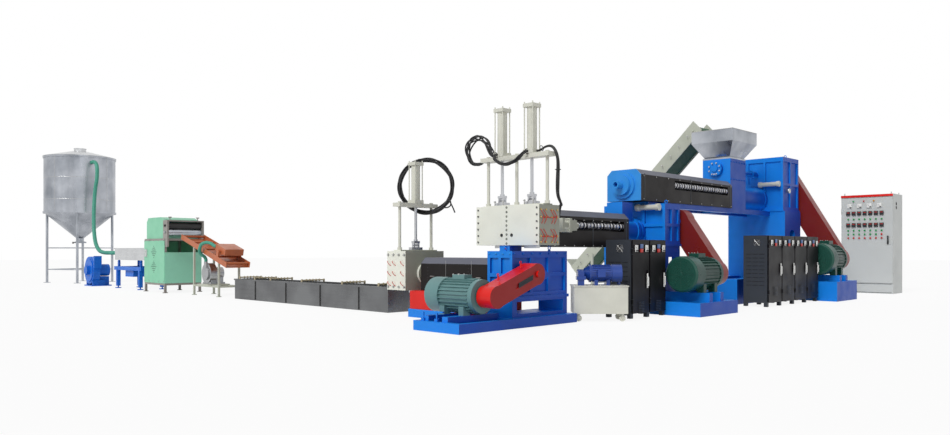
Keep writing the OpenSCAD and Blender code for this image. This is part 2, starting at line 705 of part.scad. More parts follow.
// Square tube frame of the cutter with its bearing cheeks
module cutter_frame() {
  w = cutter_w / 2;
  cheek = 40;
  color("rosybrown") {
    difference() {
      union() {
        for (x = [cutter_x0, cutter_x1 - tube], y = [-w, w - tube])
          slab([x, y, 14], [x + tube, y + tube, cutter_z]);
        for (x = [cutter_x0, cutter_x1 - tube], y = [-w, w - tube])
          translate([x + tube / 2, y + tube / 2, 0]) cylinder(h = 15, r = 60, $fn = 32);
        for (z = [180, cutter_z - tube]) {
          for (y = [-w, w - tube]) slab([cutter_x0, y, z], [cutter_x1, y + tube, z + tube]);
          for (x = [cutter_x0, cutter_x1 - tube]) slab([x, -w, z], [x + tube, w, z + tube]);
        }
        for (y = [-w, w - cheek]) slab([roller_x - 130, y, cutter_z - eps], [roller_x + 110, y + cheek, roller_high_z + 130]);
        for (y = [-w, w - cheek]) slab([roller_x - 10, y, cutter_z - 200], [roller_x + 110, y + cheek, cutter_z]);
      }
      for (z = [roller_low_z, roller_high_z]) ycyl(roller_x, -w - eps, w + eps, z, 26 + fit_gap);
    }
    slab([roller_x - 130, -w + cheek - eps, roller_high_z + 100], [roller_x + 110, w - cheek + eps, roller_high_z + 130]);
    for (y = [-w + 110, w - 110]) translate([roller_x, y, roller_high_z + 129]) {
      cylinder(h = 70, r = 10, $fn = 16);
      translate([0, 0, 60]) cylinder(h = 24, r = 38);
    }
  }
}

// Sheet covers: body panels, rotor hood and side hood
module cutter_covers() {
  w = cutter_w / 2;
  skin = 8;
  x_in = roller_x - 130;
  color("mediumaquamarine") {
    for (s = [-1, 1]) slab([cutter_x0, s > 0 ? w : -w - skin, 230], [cutter_x1, s > 0 ? w + skin : -w, cutter_z - tube]);
    slab([cutter_x0 - skin, -w, 230], [cutter_x0, w, cutter_z - tube]);
    slab([cutter_x1, -w, 230], [cutter_x1 + skin, w, cutter_z - 330]);
    translate([0, w - 30, 0]) rotate([90, 0, 0]) linear_extrude(2 * w - 60) polygon([
      [cutter_x0 + 60, cutter_z], [x_in - 1, cutter_z], [x_in - 1, roller_high_z + 150],
      [x_in - 220, roller_high_z + 210], [cutter_x0 + 160, roller_high_z + 210],
      [cutter_x0 + 60, roller_high_z + 110]]);
  }
}

// Feed roller with its shaft, along Y at height z
module feed_roller(z) {
  w = cutter_w / 2;
  ycyl(roller_x, -w + 46, w - 46, z, roller_r);
  ycyl(roller_x, -w - 30, w + 30, z, 26);
}

// Upper feed roller
module cutter_upper_roller() { color("dimgray") feed_roller(roller_high_z); }

// Lower feed roller
module cutter_lower_roller() { color("silver") feed_roller(roller_low_z); }

// Sloping chute with side walls, five rollers and the suction box
module dewatering_chute() {
  w = chute_w / 2;
  run = chute_run / cos(chute_tilt);
  wall = 10;
  color("chocolate") translate([chute_x1, 0, chute_low_z]) rotate([0, chute_tilt, 0]) {
    slab([-run, -w, 0], [0, w, wall]);
    for (s = [-1, 1]) slab([-run, s * (w - wall / 2) - wall / 2, 0], [0, s * (w - wall / 2) + wall / 2, 120]);
    for (f = [0.02, 0.25, 0.5, 0.75, 0.97]) ycyl(-f * run - 30, -w + 1, w - 1, 75, 26);
    slab([-700, -w + 60, 200], [-240, w - 60, 340]);
    for (s = [-1, 1]) slab([-520, s * (w - 14) - 14, 100], [-420, s * (w - 14) + 14, 260]);
    for (s = [-1, 1]) slab([-520, s * (w - 40) - 30, 220], [-420, s * (w - 40) + 30, 260]);
  }
}

// Stand of the chute: four legs with feet, rails and the blower shelf
module chute_stand() {
  w = chute_w / 2 - 40;
  low_x = chute_x1 - 400;
  high_x = chute_x1 - 1610;
  low_z = chute_low_z + 380 * tan(chute_tilt);
  high_z = chute_low_z + 1590 * tan(chute_tilt);
  color("darkseagreen") {
    for (y = [-w, w]) {
      slab([low_x - 20, y - 20, 12], [low_x + 20, y + 20, low_z]);
      slab([high_x - 20, y - 20, 12], [high_x + 20, y + 20, high_z]);
      for (x = [low_x, high_x]) translate([x, y, 0]) cylinder(h = 13, r = 55, $fn = 32);
      slab([high_x, y - 20, 200], [low_x, y + 20, 240]);
    }
    for (x = [low_x, high_x]) slab([x - 20, -w, 200], [x + 20, w, 240]);
    slab([low_x - 1010, -w - 20, 239], [low_x - 460, w + 20, 260]);
  }
}

// Side channel blower on the stand's shelf
module ring_blower() {
  x = chute_x1 - 1140;
  color("lightgray") {
    ycyl(x, -170, -20, 500, 230);
    ycyl(x, -200, -169, 500, 150);
    ycyl(x, -20 - eps, 190, 500, 140);
    slab([x - 200, -160, 260], [x + 200, 180, 300]);
    slab([x - 170, -150, 299], [x - 110, 150, 420]);
    slab([x + 110, -150, 299], [x + 170, 150, 420]);
    translate([x, -180, 600]) cylinder(h = 160, r = 42);
  }
}

// Hose from the ring blower to the suction box
module suction_hose() {
  color("seagreen") swept(suction_route, 38, 2, 8);
}

// Long water tank with a rolled rim and ribs below the rim
module cooling_tank() {
  w = tank_w / 2;
  color("dimgray") {
    trough([tank_x0, -w, 0], [tank_x1, w, tank_h], tank_wall);
    for (s = [-1, 1]) slab([tank_x0 - 15, s > 0 ? w - eps : -w - 15, tank_h - 30], [tank_x1 + 15, s > 0 ? w + 15 : -w + eps, tank_h]);
    slab([tank_x1 - eps, -w, tank_h - 30], [tank_x1 + 15, w, tank_h]);
    slab([tank_x0 - 15, -w, tank_h - 30], [tank_x0 + eps, w, tank_h]);
  }
}

// Grooved guide rollers across the tank on small brackets
module strand_guides() {
  w = tank_w / 2;
  color("goldenrod") for (f = [0.04, 0.16, 0.28, 0.5, 0.75, 0.95]) {
    x = tank_x0 + f * tank_l;
    for (s = [-1, 1]) slab([x - 20, s * (w - 8) - 8, tank_h], [x + 20, s * (w - 8) + 8, tank_h + 55]);
    ycyl(x, -w + 10, w - 10, tank_h + 34, 14);
    for (k = [-2:2]) ycyl(x, k * 70 - 8, k * 70 + 8, tank_h + 34, 24);
  }
}

// Base of stage 3: motor frame, barrel frame, gearbox stand and motor rails
module stage3_base() {
  y0 = -s3_motor_off - 530;
  box_y = s3_box_w / 2;
  foot_z = s3_motor_z - s3_motor_r - 10;
  color("dodgerblue") {
    difference() {
      union() {
        slab([s3_box_x - 270, y0, 0], [s3_box_x1 + 120, box_y + 75, s3_base_h]);
        slab([s3_cover_x - 60, -480, 0], [s3_box_x - 269, 480, s3_base_h]);
      }
      slab([s3_box_x - 190, y0 + 90, 30], [s3_box_x1 + 40, -box_y - 130, s3_base_h + eps]);
    }
    difference() {
      slab([s3_box_x, -box_y, s3_base_h - eps], [s3_box_x1, box_y, s3_box_z]);
      slab([s3_box_x - eps, -box_y + 90, s3_base_h + 45], [s3_box_x1 + eps, box_y - 90, s3_box_z - 30]);
    }
    for (f = [0.62, 0.22]) {
      x = s3_box_x1 - f * s3_motor_l;
      slab([x - 50, y0 + 60, s3_base_h - 20], [x + 50, -box_y - 100, foot_z]);
    }
    for (x = [s3_box_x - 140, s3_box_x + 110]) {
      translate([x, y0 + 60, s3_base_h - eps]) cylinder(h = 130, r = 11, $fn = 16);
      translate([x, y0 + 60, s3_base_h - eps]) cylinder(h = 36, r = 34, $fn = 24);
    }
    slab([s3_box_x - 260, y0 + 45, s3_base_h + 110], [s3_box_x + 230, y0 + 75, s3_base_h + 130]);
  }
}

// Sheet cabinet that carries the stage 3 barrel cover
module stage3_support_cabinet() {
  color("red") slab([s3_cover_x - 40, -460, s3_base_h], [s3_box_x - 300, 460, s3_axis_z - s3_cover_h / 2]);
}

// Screen changer block with its slide slot, neck and die, stage 3
module stage3_changer() {
  c = s3_gantry_x;
  w = s3_block_w / 2;
  cut_t = slide_t + 2 * slide_gap;
  cut_w = slide_w + 2 * slide_gap;
  color("beige") {
    difference() {
      union() {
        slab([s3_block_x0, -w, s3_block_z0], [s3_block_x1, w, s3_block_z1]);
        slab([s3_block_x0 - 30, -w + 60, s3_axis_z - 190], [s3_block_x0 + eps, w - 60, s3_axis_z + 190]);
        slab([c - 90, -w + 20, s3_block_z1 - eps], [c + 90, w - 20, s3_block_z1 + 18]);
      }
      slab([c - cut_t / 2, -cut_w / 2, s3_block_z0 - eps], [c + cut_t / 2, cut_w / 2, s3_block_z1 + 30]);
    }
    xcyl(s3_block_x1 - eps, s3_cover_x, 0, s3_axis_z, 110);
    xcyl(s3_block_x1 - eps, s3_block_x1 + 40, 0, s3_axis_z, 165);
    xcyl(s3_block_x0 - 90, s3_block_x0 - 29, 0, s3_axis_z, 130);
  }
}

// Columns, crosshead and cylinder of stage 3
module stage3_gantry() {
  z0 = s3_block_z1 + 18;
  color("beige") translate([s3_gantry_x, 0, 0]) rotate([0, 0, 90])
    gantry([-330, 330], [0], 400, z0, s3_cross_z, s3_cyl_l);
}

// Screen slide of stage 3
module stage3_slide() {
  top = s3_block_z1 + 60;
  color("lightgray") translate([s3_gantry_x, 0, top]) rotate([0, 0, 90])
    screen_slide(s3_block_h + 110, s3_cross_z - top + 60);
}

// Screen changer block with two slide slots, two melt bores and its neck, stage 2
module stage2_changer() {
  w = s2_block_w / 2;
  cut_t = slide_t + 2 * slide_gap;
  cut_w = slide_w + 2 * slide_gap;
  color("beige") {
    difference() {
      union() {
        slab([-w, s2_block_y0, s2_block_z0], [w, s2_block_y1, s2_block_z1]);
        slab([-w + 25, s2_gantry_y - 95, s2_block_z1 - eps], [w - 25, s2_gantry_y + 95, s2_block_z1 + 18]);
      }
      for (x = [-s2_slide_off, s2_slide_off])
        slab([x - cut_w / 2, s2_gantry_y - cut_t / 2, s2_block_z0 - eps],
          [x + cut_w / 2, s2_gantry_y + cut_t / 2, s2_block_z1 + 30]);
      for (x = [-95, 95]) ycyl(x, s2_block_y0 - eps, s2_block_y0 + 120, s2_axis_z - 110, 20);
    }
    ycyl(0, s2_block_y1 - eps, s2_cover_y0, s2_axis_z, 130);
    ycyl(0, s2_block_y1 - eps, s2_block_y1 + 45, s2_axis_z, 200);
  }
}

// Columns, crosshead and two cylinders of stage 2
module stage2_gantry() {
  color("beige") translate([0, s2_gantry_y, 0])
    gantry([-555, 0, 555], [-s2_slide_off, s2_slide_off], 640, s2_block_z1 + 18, s2_cross_z, s2_cyl_l);
}

// Screen slide of stage 2 at x
module stage2_slide(x) {
  top = s2_block_z1 + 60;
  color("lightgray") translate([x, s2_gantry_y, top])
    screen_slide(s2_block_h + 100, s2_cross_z - top + 60);
}

// Left slide of stage 2
module stage2_slide_left() { stage2_slide(-s2_slide_off); }

// Right slide of stage 2
module stage2_slide_right() { stage2_slide(s2_slide_off); }

// Tie-rod cylinder on the side of the stage 2 barrel cover
module side_cylinder() {
  x = s2_cover_w / 2 + 80;
  y = s2_cover_y0 + 40;
  z = s2_axis_z + 40;
  color("beige") {
    for (k = [0, 170]) slab([x - 80, y + k, z - 100], [x + 80, y + k + 50, z + 100]);
    ycyl(x, y + 49, y + 171, z, 62);
    for (a = [-1, 1], b = [-1, 1]) ycyl(x + a * 62, y + 10, y + 210, z + b * 80, 10);
    slab([x - 80, y + 219, z - 75], [x + 60, y + 360, z + 75]);
    ycyl(x, y + 359, y + 430, z, 45);
  }
}

// Stand of the stage 2 gearbox with the motor frame and its rails
module stage2_stand() {
  w = s2_box_w / 2;
  foot_z = s2_motor_z - s2_motor_r - 10;
  guard_y1 = s2_guard_y + s2_guard_t;
  mx = s2_motor_off;
  color("royalblue") {
    difference() {
      slab([-w, s2_box_y, 0], [w, s2_box_y1, s2_box_z]);
      slab([-w - eps, s2_box_y + 110, 600], [w + eps, s2_box_y1 - 110, 900]);
      slab([-w + 90, s2_box_y - eps, 200], [-60, s2_box_y1 + eps, 950]);
      slab([60, s2_box_y - eps, 200], [w - 90, s2_box_y1 + eps, 950]);
    }
    difference() {
      slab([w - eps, s2_box_y1 - s2_motor_l - 60, 0], [mx + 360, guard_y1, 210]);
      slab([w + 90, s2_box_y1 - s2_motor_l + 40, 40], [mx + 270, guard_y1 - 90, 211]);
    }
    for (f = [0.62, 0.22]) {
      y = s2_box_y1 - f * s2_motor_l;
      slab([w + 60, y - 50, 180], [mx + 330, y + 50, foot_z]);
    }
  }
}

// Frame of stage 1: base beams, gearbox stand, rails and motor pedestal
module stage1_frame() {
  w = s1_box_w / 2 + 40;
  foot_z = s1_motor_z - s1_motor_r - 10;
  guard_y1 = s1_guard_y + s1_guard_t;
  mx = s1_motor_off;
  color("royalblue") {
    for (s = [-1, 1]) slab([s * (w - 130) - 130, s1_cover_y1 - 400, 0], [s * (w - 130) + 130, s1_box_y1, s1_beam_h]);
    slab([-w + 200, s1_cover_y1 - 400, 0], [w - 200, s1_cover_y1 - 200, s1_beam_h]);
    difference() {
      slab([-w, s1_box_y, 0], [w, s1_box_y1, s1_rail_top]);
      slab([w - 200, s1_box_y + 240, s1_beam_h + 400], [w + eps, s1_box_y + 500, s1_beam_h + 850]);
      translate([w - 200, s1_box_y + 370, s1_beam_h + 850]) rotate([0, 90, 0]) cylinder(h = 200 + eps, r = 130);
    }
    for (s = [-1, 1]) slab([s * 250 - 50, s2_box_y1 + 20, s1_rail_top - 90], [s * 250 + 50, s1_box_y + eps, s1_rail_top]);
    for (y = [s2_box_y1 + 20, s1_cover_y1 - 200]) slab([-260, y, s1_rail_top - 90], [260, y + 100, s1_rail_top]);
    difference() {
      slab([w - eps, s1_box_y1 - s1_motor_l, 0], [mx + 380, guard_y1, foot_z - 120]);
      slab([w + 90, s1_box_y1 - s1_motor_l + 90, 60], [mx + 290, guard_y1 - 90, foot_z]);
    }
    for (f = [0.62, 0.22]) {
      y = s1_box_y1 - f * s1_motor_l;
      slab([w + 60, y - 50, foot_z - 150], [mx + 340, y + 50, foot_z]);
    }
    slab([-60, s1_box_y1 - eps, 0], [w, guard_y1, 200]);
  }
}

// Octagonal end plate, die flanges and nozzle of stage 1
module stage1_die_head() {
  y = s1_cover_y0;
  color("deepskyblue") difference() {
    union() {
      translate([0, y, s1_axis_z]) rotate([90, 0, 0]) linear_extrude(20) cover_outline(s1_cover_w, s1_cover_h, 90);
      ycyl(0, y - 60, y - 19, s1_axis_z, 220);
      ycyl(0, y - 120, y - 59, s1_axis_z, 165);
      ycyl(0, y - 260, y - 119, s1_axis_z, 62);
    }
    ycyl(0, y - 261, y - 140, s1_axis_z, 40);
  }
}

// Feed section with its open throat and the round feeder cover
module feed_box() {
  y = s1_cover_y1;
  w = hopper_foot[0] / 2;
  color("cornflowerblue") {
    difference() {
      slab([-w, y, s1_rail_top], [w, y + s1_feed_l, s1_feed_top]);
      slab([-w + 60, y + 60, s1_axis_z + 120], [w - 60, y + s1_feed_l - 60, s1_feed_top + eps]);
    }
    ycyl(0, y - 70, y + eps, s1_feed_top - 190, 140);
    ycyl(0, y - 95, y - 69, s1_feed_top - 190, 60);
    ycyl(0, y + s1_feed_l - eps, s1_box_y + 30, s1_feed_top - 190, 45);
    ycyl(0, y + s1_feed_l - eps, y + s1_feed_l + 90, s1_feed_top - 190, 150);
    ycyl(0, s1_box_y - 260, s1_box_y - 90, s1_feed_top - 190, 85);
  }
}

// Four-sided hopper: foot flange, funnel and straight band
module feed_hopper() {
  foot = [hopper_foot[0], hopper_foot[1]];
  rim = [hopper_w, hopper_l];
  color("silver") translate([0, s1_cover_y1 + s1_feed_l / 2, s1_feed_top]) {
    difference() {
      translate([-foot[0] / 2, -foot[1] / 2, 0]) cube([foot[0], foot[1], 30]);
      translate([-foot[0] / 2 + 60, -foot[1] / 2 + 60, -eps]) cube([foot[0] - 120, foot[1] - 120, 40]);
    }
    translate([0, 0, 29]) funnel([foot[0] - 60, foot[1] - 60], rim, hopper_cone, hopper_wall);
    translate([-rim[0] / 2, -rim[1] / 2, 28 + hopper_cone]) difference() {
      cube([rim[0], rim[1], hopper_band]);
      translate([hopper_wall, hopper_wall, -eps])
        cube([rim[0] - 2 * hopper_wall, rim[1] - 2 * hopper_wall, hopper_band + 3]);
    }
  }
}

// Gear housings of the three stages with their barrel necks and input shafts
module gearboxes() {
  color("blue") {
    translate([s3_box_x1, -s3_box_w / 2, s3_box_z]) rotate([0, 0, 90])
      gear_housing(s3_box_w, s3_box_d, s3_box_top - s3_box_z, 3, 2);
    slab([s3_feed_x, -230, s3_axis_z - 220], [s3_box_x + eps, 230, s3_axis_z + 230]);
    slab([-150, -120, s3_axis_z + 229], [40, 130, s2_block_z0]);
    xcyl(s3_box_x1 - eps, s3_guard_x, s3_guard_top[0], s3_guard_top[1], 55);
    xcyl(s3_box_x1 - eps, s3_box_x1 + 130, -60, s3_axis_z + 30, 60);

    translate([-s2_box_w / 2, s2_box_y, s2_box_z])
      gear_housing(s2_box_w, s2_box_d, s2_box_top - s2_box_z, 3, 2);
    ycyl(0, s2_cover_y1, s2_box_y + eps, s2_axis_z, 215);
    ycyl(0, s2_box_y - 60, s2_box_y + eps, s2_axis_z, 225);
    ycyl(0, s2_box_y - 200, s2_box_y - 130, s2_axis_z, 240);
    ycyl(s2_guard_top[0], s2_box_y1 - eps, s2_guard_y, s2_guard_top[1], 60);
    difference() {
      translate([-s2_throat.x / 2, s2_throat_y, s2_axis_z]) cube(s2_throat);
      translate([-s2_throat.x / 2 + 20, s2_throat_y + 20, s2_axis_z + 240])
        cube([s2_throat.x - 40, s2_throat.y - 40, s2_throat.z]);
    }
    slab([-230, s2_box_y + 90, s2_box_top - eps], [230, s2_box_y + 380, s1_axis_z - s1_cover_h / 2]);

    translate([-s1_box_w / 2, s1_box_y, s1_rail_top])
      gear_housing(s1_box_w, s1_box_d, s1_box_top - s1_rail_top, 3, 2);
    ycyl(0, s1_cover_y1 + s1_feed_l, s1_box_y + eps, s1_axis_z, 245);
    ycyl(0, s1_cover_y1 + s1_feed_l, s1_cover_y1 + s1_feed_l + 60, s1_axis_z, 256);
    ycyl(0, s1_box_y - 80, s1_box_y + eps, s1_axis_z, 256);
    ycyl(s1_guard_top[0], s1_box_y1 - eps, s1_guard_y, s1_guard_top[1], 60);
  }
}

// Main motors of the three stages
module drive_motors() {
  color("seagreen") {
    translate([s3_box_x1, -s3_motor_off, s3_motor_z])
      finned_motor(s3_motor_l, s3_motor_r, s3_motor_r + 10, s3_guard_x - s3_box_x1);
    translate([s2_motor_off, s2_box_y1, s2_motor_z]) rotate([0, 0, 90])
      finned_motor(s2_motor_l, s2_motor_r, s2_motor_r + 10, s2_guard_y - s2_box_y1);
    translate([s1_motor_off, s1_box_y1, s1_motor_z]) rotate([0, 0, 90])
      finned_motor(s1_motor_l, s1_motor_r, s1_motor_r + 10, s1_guard_y - s1_box_y1);
  }
}

// Belt guards of the three stages
module belt_guards() {
  color("red") {
    translate([s3_guard_x, 0, 0]) rotate([90, 0, 90])
      belt_case([-s3_motor_off, s3_motor_z], s3_guard_top, s3_guard_r, s3_guard_t);
    translate([0, s2_guard_y, 0]) mirror([0, 1, 0]) rotate([90, 0, 0])
      belt_case([s2_motor_off, s2_motor_z], s2_guard_top, s2_guard_r, s2_guard_t);
    translate([0, s1_guard_y, 0]) mirror([0, 1, 0]) rotate([90, 0, 0])
      belt_case([s1_motor_off, s1_motor_z], s1_guard_top, s1_guard_r, s1_guard_t);
  }
}

// Barrel covers of the three stages
module barrel_covers() {
  color("saddlebrown") {
    translate([s3_cover_x + s3_cover_l, 0, s3_axis_z]) rotate([90, 0, -90])
      linear_extrude(s3_cover_l) cover_outline(s3_cover_w, s3_cover_h, 90);
    translate([0, s2_cover_y0, s2_axis_z])
      barrel_cover(s2_cover_l, s2_cover_w, s2_cover_h, s2_cover_l - 1390, s2_cover_l - 140);
    translate([0, s1_cover_y0, s1_axis_z])
      barrel_cover(s1_cover_l, s1_cover_w, s1_cover_h, 1070, s1_cover_l - 180);
  }
}

// Ribbed cooling ducts in the recesses of the covers of stages 2 and 1
module cooling_ducts() {
  color("lightgray") {
    translate([s2_cover_w / 2 - 50, s2_cover_y1 - 1390, s2_axis_z + 0.1 * s2_cover_h])
      ribbed_duct(1250, 58);
    translate([s1_cover_w / 2 - 50, s1_cover_y0 + 1070, s1_axis_z + 0.1 * s1_cover_h])
      ribbed_duct(s1_cover_l - 1250, 58);
  }
}

// Tube oil coolers on the gearboxes of stages 2 and 1
module oil_coolers() {
  color("beige") {
    for (p = [[s2_box_y - 70, s2_box_top - 60], [s1_box_y - 70, (s1_rail_top + s1_box_top) / 2]]) {
      x0 = 130;
      xcyl(x0, x0 + 380, p[0], p[1], 45);
      xcyl(x0 - 30, x0 + 30, p[0], p[1], 58);
      xcyl(x0 + 350, x0 + 410, p[0], p[1], 58);
      for (x = [x0 + 80, x0 + 280]) slab([x - 15, p[0], p[1] - 20], [x + 15, p[0] + 70, p[1] + 20]);
    }
  }
}

// Tied hose coil on the stage 3 gantry and hose bundles on the stage 2 gantry
module hydraulic_hoses() {
  color("black") {
    translate([s3_gantry_x - 4.2, 224.2, s3_cross_z + 353]) rotate([90, 0, 45]) rotate_extrude($fn = 64)
      translate([430, 0]) circle(r = 47, $fn = 20);
    swept(left_bundle, 34, 2, 8);
    swept(front_bundle, 26, 2, 8);
    swept(side_bundle, 24, 2, 8);
  }
}

// Conveyor side plates, cross bars, drums, motor and legs
module conveyor_frame() {
  w = belt_w / 2 + 12;
  color("darkseagreen") {
    translate([conv_tail[0], conv_y, conv_tail[1]]) rotate([0, -conv_tilt, 0]) {
      for (s = [-1, 1]) slab([-150, s * w - 8, -side_h / 2], [conv_run + 150, s * w + 8, side_h / 2]);
      for (f = [0.12, 0.35, 0.6, 0.85]) ycyl(f * conv_run, -w, w, 0, 20);
      for (x = [0, conv_run]) {
        ycyl(x, -w - 40, w + 40, 0, 22);
        ycyl(x, -w + 12, w - 12, 0, drum_r - belt_t - 0.5);
      }
      slab([-140, -w, -side_h / 2 + 12], [-130, w, side_h / 2 + 220]);
    }
    for (f = [0.14, 0.62]) {
      x = conv_tail[0] + f * (conv_head[0] - conv_tail[0]);
      z = conv_tail[1] + f * (conv_head[1] - conv_tail[1]) - side_h / 2 / cos(conv_tilt) + 60;
      for (s = [-1, 1]) {
        slab([x - 30, conv_y + s * (w + 24) - 18, 0], [x + 30, conv_y + s * (w + 24) + 18, z + 40]);
        slab([x - 120, conv_y + s * (w + 24) - 50, 0], [x + 120, conv_y + s * (w + 24) + 50, 20]);
      }
      slab([x - 25, conv_y - w - 24, 0.3 * z], [x + 25, conv_y + w + 24, 0.3 * z + 50]);
    }
  }
}

// Conveyor belt as one closed loop with cleats
module conveyor_belt() {
  w = belt_w / 2;
  color("darkgreen") translate([conv_tail[0], conv_y + w, conv_tail[1]]) rotate([0, -conv_tilt, 0])
    rotate([90, 0, 0]) linear_extrude(2 * w) difference() {
      union() {
        circle(drum_r);
        translate([conv_run, 0]) circle(drum_r);
        translate([0, -drum_r]) square([conv_run, 2 * drum_r]);
        for (k = [1:9]) translate([k * conv_run / 10 - 6, drum_r - 2]) square([12, 42]);
      }
      circle(drum_r - belt_t);
      translate([conv_run, 0]) circle(drum_r - belt_t);
      translate([0, -drum_r + belt_t]) square([conv_run, 2 * (drum_r - belt_t)]);
    }
}

// Caster: swivel plate, fork and wheel, standing on the floor
module caster() {
  translate([0, 0, hyd_z - 8]) cylinder(h = 8, r = 38, $fn = 32);
  for (s = [-1, 1]) slab([-16, s * 22 - 3, caster_r - 8], [16, s * 22 + 3, hyd_z - 7]);
  slab([-16, -24, hyd_z - 16], [16, 24, hyd_z - 7]);
  translate([0, 25, caster_r]) rotate([90, 0, 0]) cylinder(h = 50, r = 8, $fn = 24);
  translate([0, 16, caster_r]) rotate([90, 0, 0]) cylinder(h = 32, r = caster_r);
}

// Hydraulic tank with its top plate and casters
module hydraulic_tank() {
  color("beige") translate([hyd_at[0], hyd_at[1], 0]) rotate([0, 0, hyd_turn]) {
    slab([0, 0, hyd_z], [hyd_w, hyd_d, hyd_z + hyd_h]);
    slab([-12, -12, hyd_z + hyd_h - 14], [hyd_w + 12, hyd_d + 12, hyd_z + hyd_h]);
    for (x = [70, hyd_w - 70], y = [70, hyd_d - 70]) translate([x, y, 0]) caster();
  }
}

// Pump motor, bell housing, pump and valve block on the hydraulic tank
module hydraulic_pump_set() {
  top = hyd_z + hyd_h;
  z = top + 170;
  y = hyd_d / 2;
  color("mediumblue") translate([hyd_at[0], hyd_at[1], 0]) rotate([0, 0, hyd_turn]) {
    xcyl(260, 560, y, z, 115);
    for (i = [0:23]) translate([0, y, z]) rotate([15 * i + 7, 0, 0]) slab([280, 105, -3], [540, 124, 3]);
    xcyl(559, 700, y, z, 126);
    xcyl(235, 261, y, z, 130);
    translate([160, y, z]) rotate([0, 90, 0]) cylinder(h = 76, r1 = 70, r2 = 110);
    xcyl(60, 161, y, z, 55);
    for (x = [330, 500]) slab([x - 25, y - 100, top], [x + 25, y + 100, z - 90]);
    slab([340, y - 190, z - 50], [450, y - 105, z + 50]);
    slab([60, y - 170, top], [150, y - 80, top + 210]);
    slab([40, y - 190, top + 80], [170, y - 60, top + 130]);
    translate([680, y + 110, top]) cylinder(h = 60, r = 30);
  }
}

// Heater cabinet shell with four corner feet and hanging rail lip
module heater_cabinet(pitch, doors, h) {
  w = pitch * doors;
  cabinet_shell(pitch, doors, heater_d, h, cab_foot);
  for (x = [-heater_d, -door_t - 65]) for (i = [0:doors])
    slab([x, min(max(i * pitch - 35, 0), w - 70), 0], [x + 60, min(max(i * pitch - 35, 0), w - 70) + 70, cab_foot + eps]);
}

// Small heater cabinet
module small_heater_cabinet() {
  color("dimgray") translate(small_at) heater_cabinet(small_door_p, 2, small_h);
}

// Door i of the small heater cabinet
module small_door(i) {
  color("darkslategray") translate(small_at)
    cabinet_door(i, small_door_p, small_h, cab_foot, cab_foot + 6, cab_foot + small_h - 6, 0.5 * small_h);
}

// First door of the small heater cabinet
module small_door_1() { small_door(0); }

// Second door of the small heater cabinet
module small_door_2() { small_door(1); }

// Large heater cabinet
module large_heater_cabinet() {
  color("dimgray") translate(large_at) heater_cabinet(large_door_p, 4, large_h);
}

// Door i of the large heater cabinet
module large_door(i) {
  color("darkslategray") translate(large_at)
    cabinet_door(i, large_door_p, large_h, cab_foot, cab_foot + 6, cab_foot + large_h - 6, 0.5 * large_h);
}

// First door of the large heater cabinet
module large_door_1() { large_door(0); }

// Second door of the large heater cabinet
module large_door_2() { large_door(1); }

// Third door of the large heater cabinet
module large_door_3() { large_door(2); }

// Fourth door of the large heater cabinet
module large_door_4() { large_door(3); }

// Control cabinet facing -Y, with plinth, top rail and lifting eyes
module control_cabinet() {
  color("lightgray") translate(control_at) rotate([0, 0, -90]) {
    cabinet_shell(control_w, 1, control_d, control_h, 0);
    slab([-door_t - 6, 0, 0], [0, control_w, control_plinth]);
    slab([-door_t - 6, 0, control_h - 60], [10, control_w, control_h]);
    for (x = [-control_d + 50, -door_t - 60], y = [60, control_w - 60]) translate([x, y, control_h - eps])
      scale(0.8) eye_bolt();
  }
}

// Door of the control cabinet
module control_door() {
  color("gainsboro") translate(control_at) rotate([0, 0, -90])
    cabinet_door(0, control_w, control_h, 0, control_plinth + 6, control_h - 68, 0.5 * control_h);
}

silo_shell();
silo_roof();
silo_legs();
silo_slide_gate();
conveying_hose();
conveying_blower();
sieve_tray();
sieve_frame();
cutter_frame();
cutter_covers();
cutter_upper_roller();
cutter_lower_roller();
dewatering_chute();
chute_stand();
ring_blower();
suction_hose();
cooling_tank();
strand_guides();
stage3_base();
stage3_support_cabinet();
stage3_changer();
stage3_gantry();
stage3_slide();
stage2_stand();
stage2_changer();
stage2_gantry();
stage2_slide_left();
stage2_slide_right();
side_cylinder();
stage1_frame();
stage1_die_head();
feed_box();
feed_hopper();
gearboxes();
drive_motors();
belt_guards();
barrel_covers();
cooling_ducts();
oil_coolers();
hydraulic_hoses();
conveyor_frame();
conveyor_belt();
hydraulic_tank();
hydraulic_pump_set();
small_heater_cabinet();
small_door_1();
small_door_2();
large_heater_cabinet();
large_door_1();
large_door_2();
large_door_3();
large_door_4();
control_cabinet();
control_door();
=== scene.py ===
import math

import bpy
from mathutils import Matrix, Vector


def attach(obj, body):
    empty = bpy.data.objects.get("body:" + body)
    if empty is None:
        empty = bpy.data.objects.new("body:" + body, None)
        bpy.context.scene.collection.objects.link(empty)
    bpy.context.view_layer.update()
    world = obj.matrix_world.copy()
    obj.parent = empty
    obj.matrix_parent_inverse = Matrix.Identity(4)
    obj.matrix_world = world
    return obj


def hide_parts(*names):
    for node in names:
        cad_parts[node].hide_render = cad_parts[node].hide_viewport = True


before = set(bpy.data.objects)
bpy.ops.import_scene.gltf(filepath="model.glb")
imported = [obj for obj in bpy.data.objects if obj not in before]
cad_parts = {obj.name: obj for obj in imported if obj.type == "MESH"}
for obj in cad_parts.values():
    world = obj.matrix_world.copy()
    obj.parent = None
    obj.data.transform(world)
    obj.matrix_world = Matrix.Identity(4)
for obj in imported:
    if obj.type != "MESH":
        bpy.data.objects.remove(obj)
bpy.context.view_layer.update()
print("frame loaded:", len(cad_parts), "nodes")

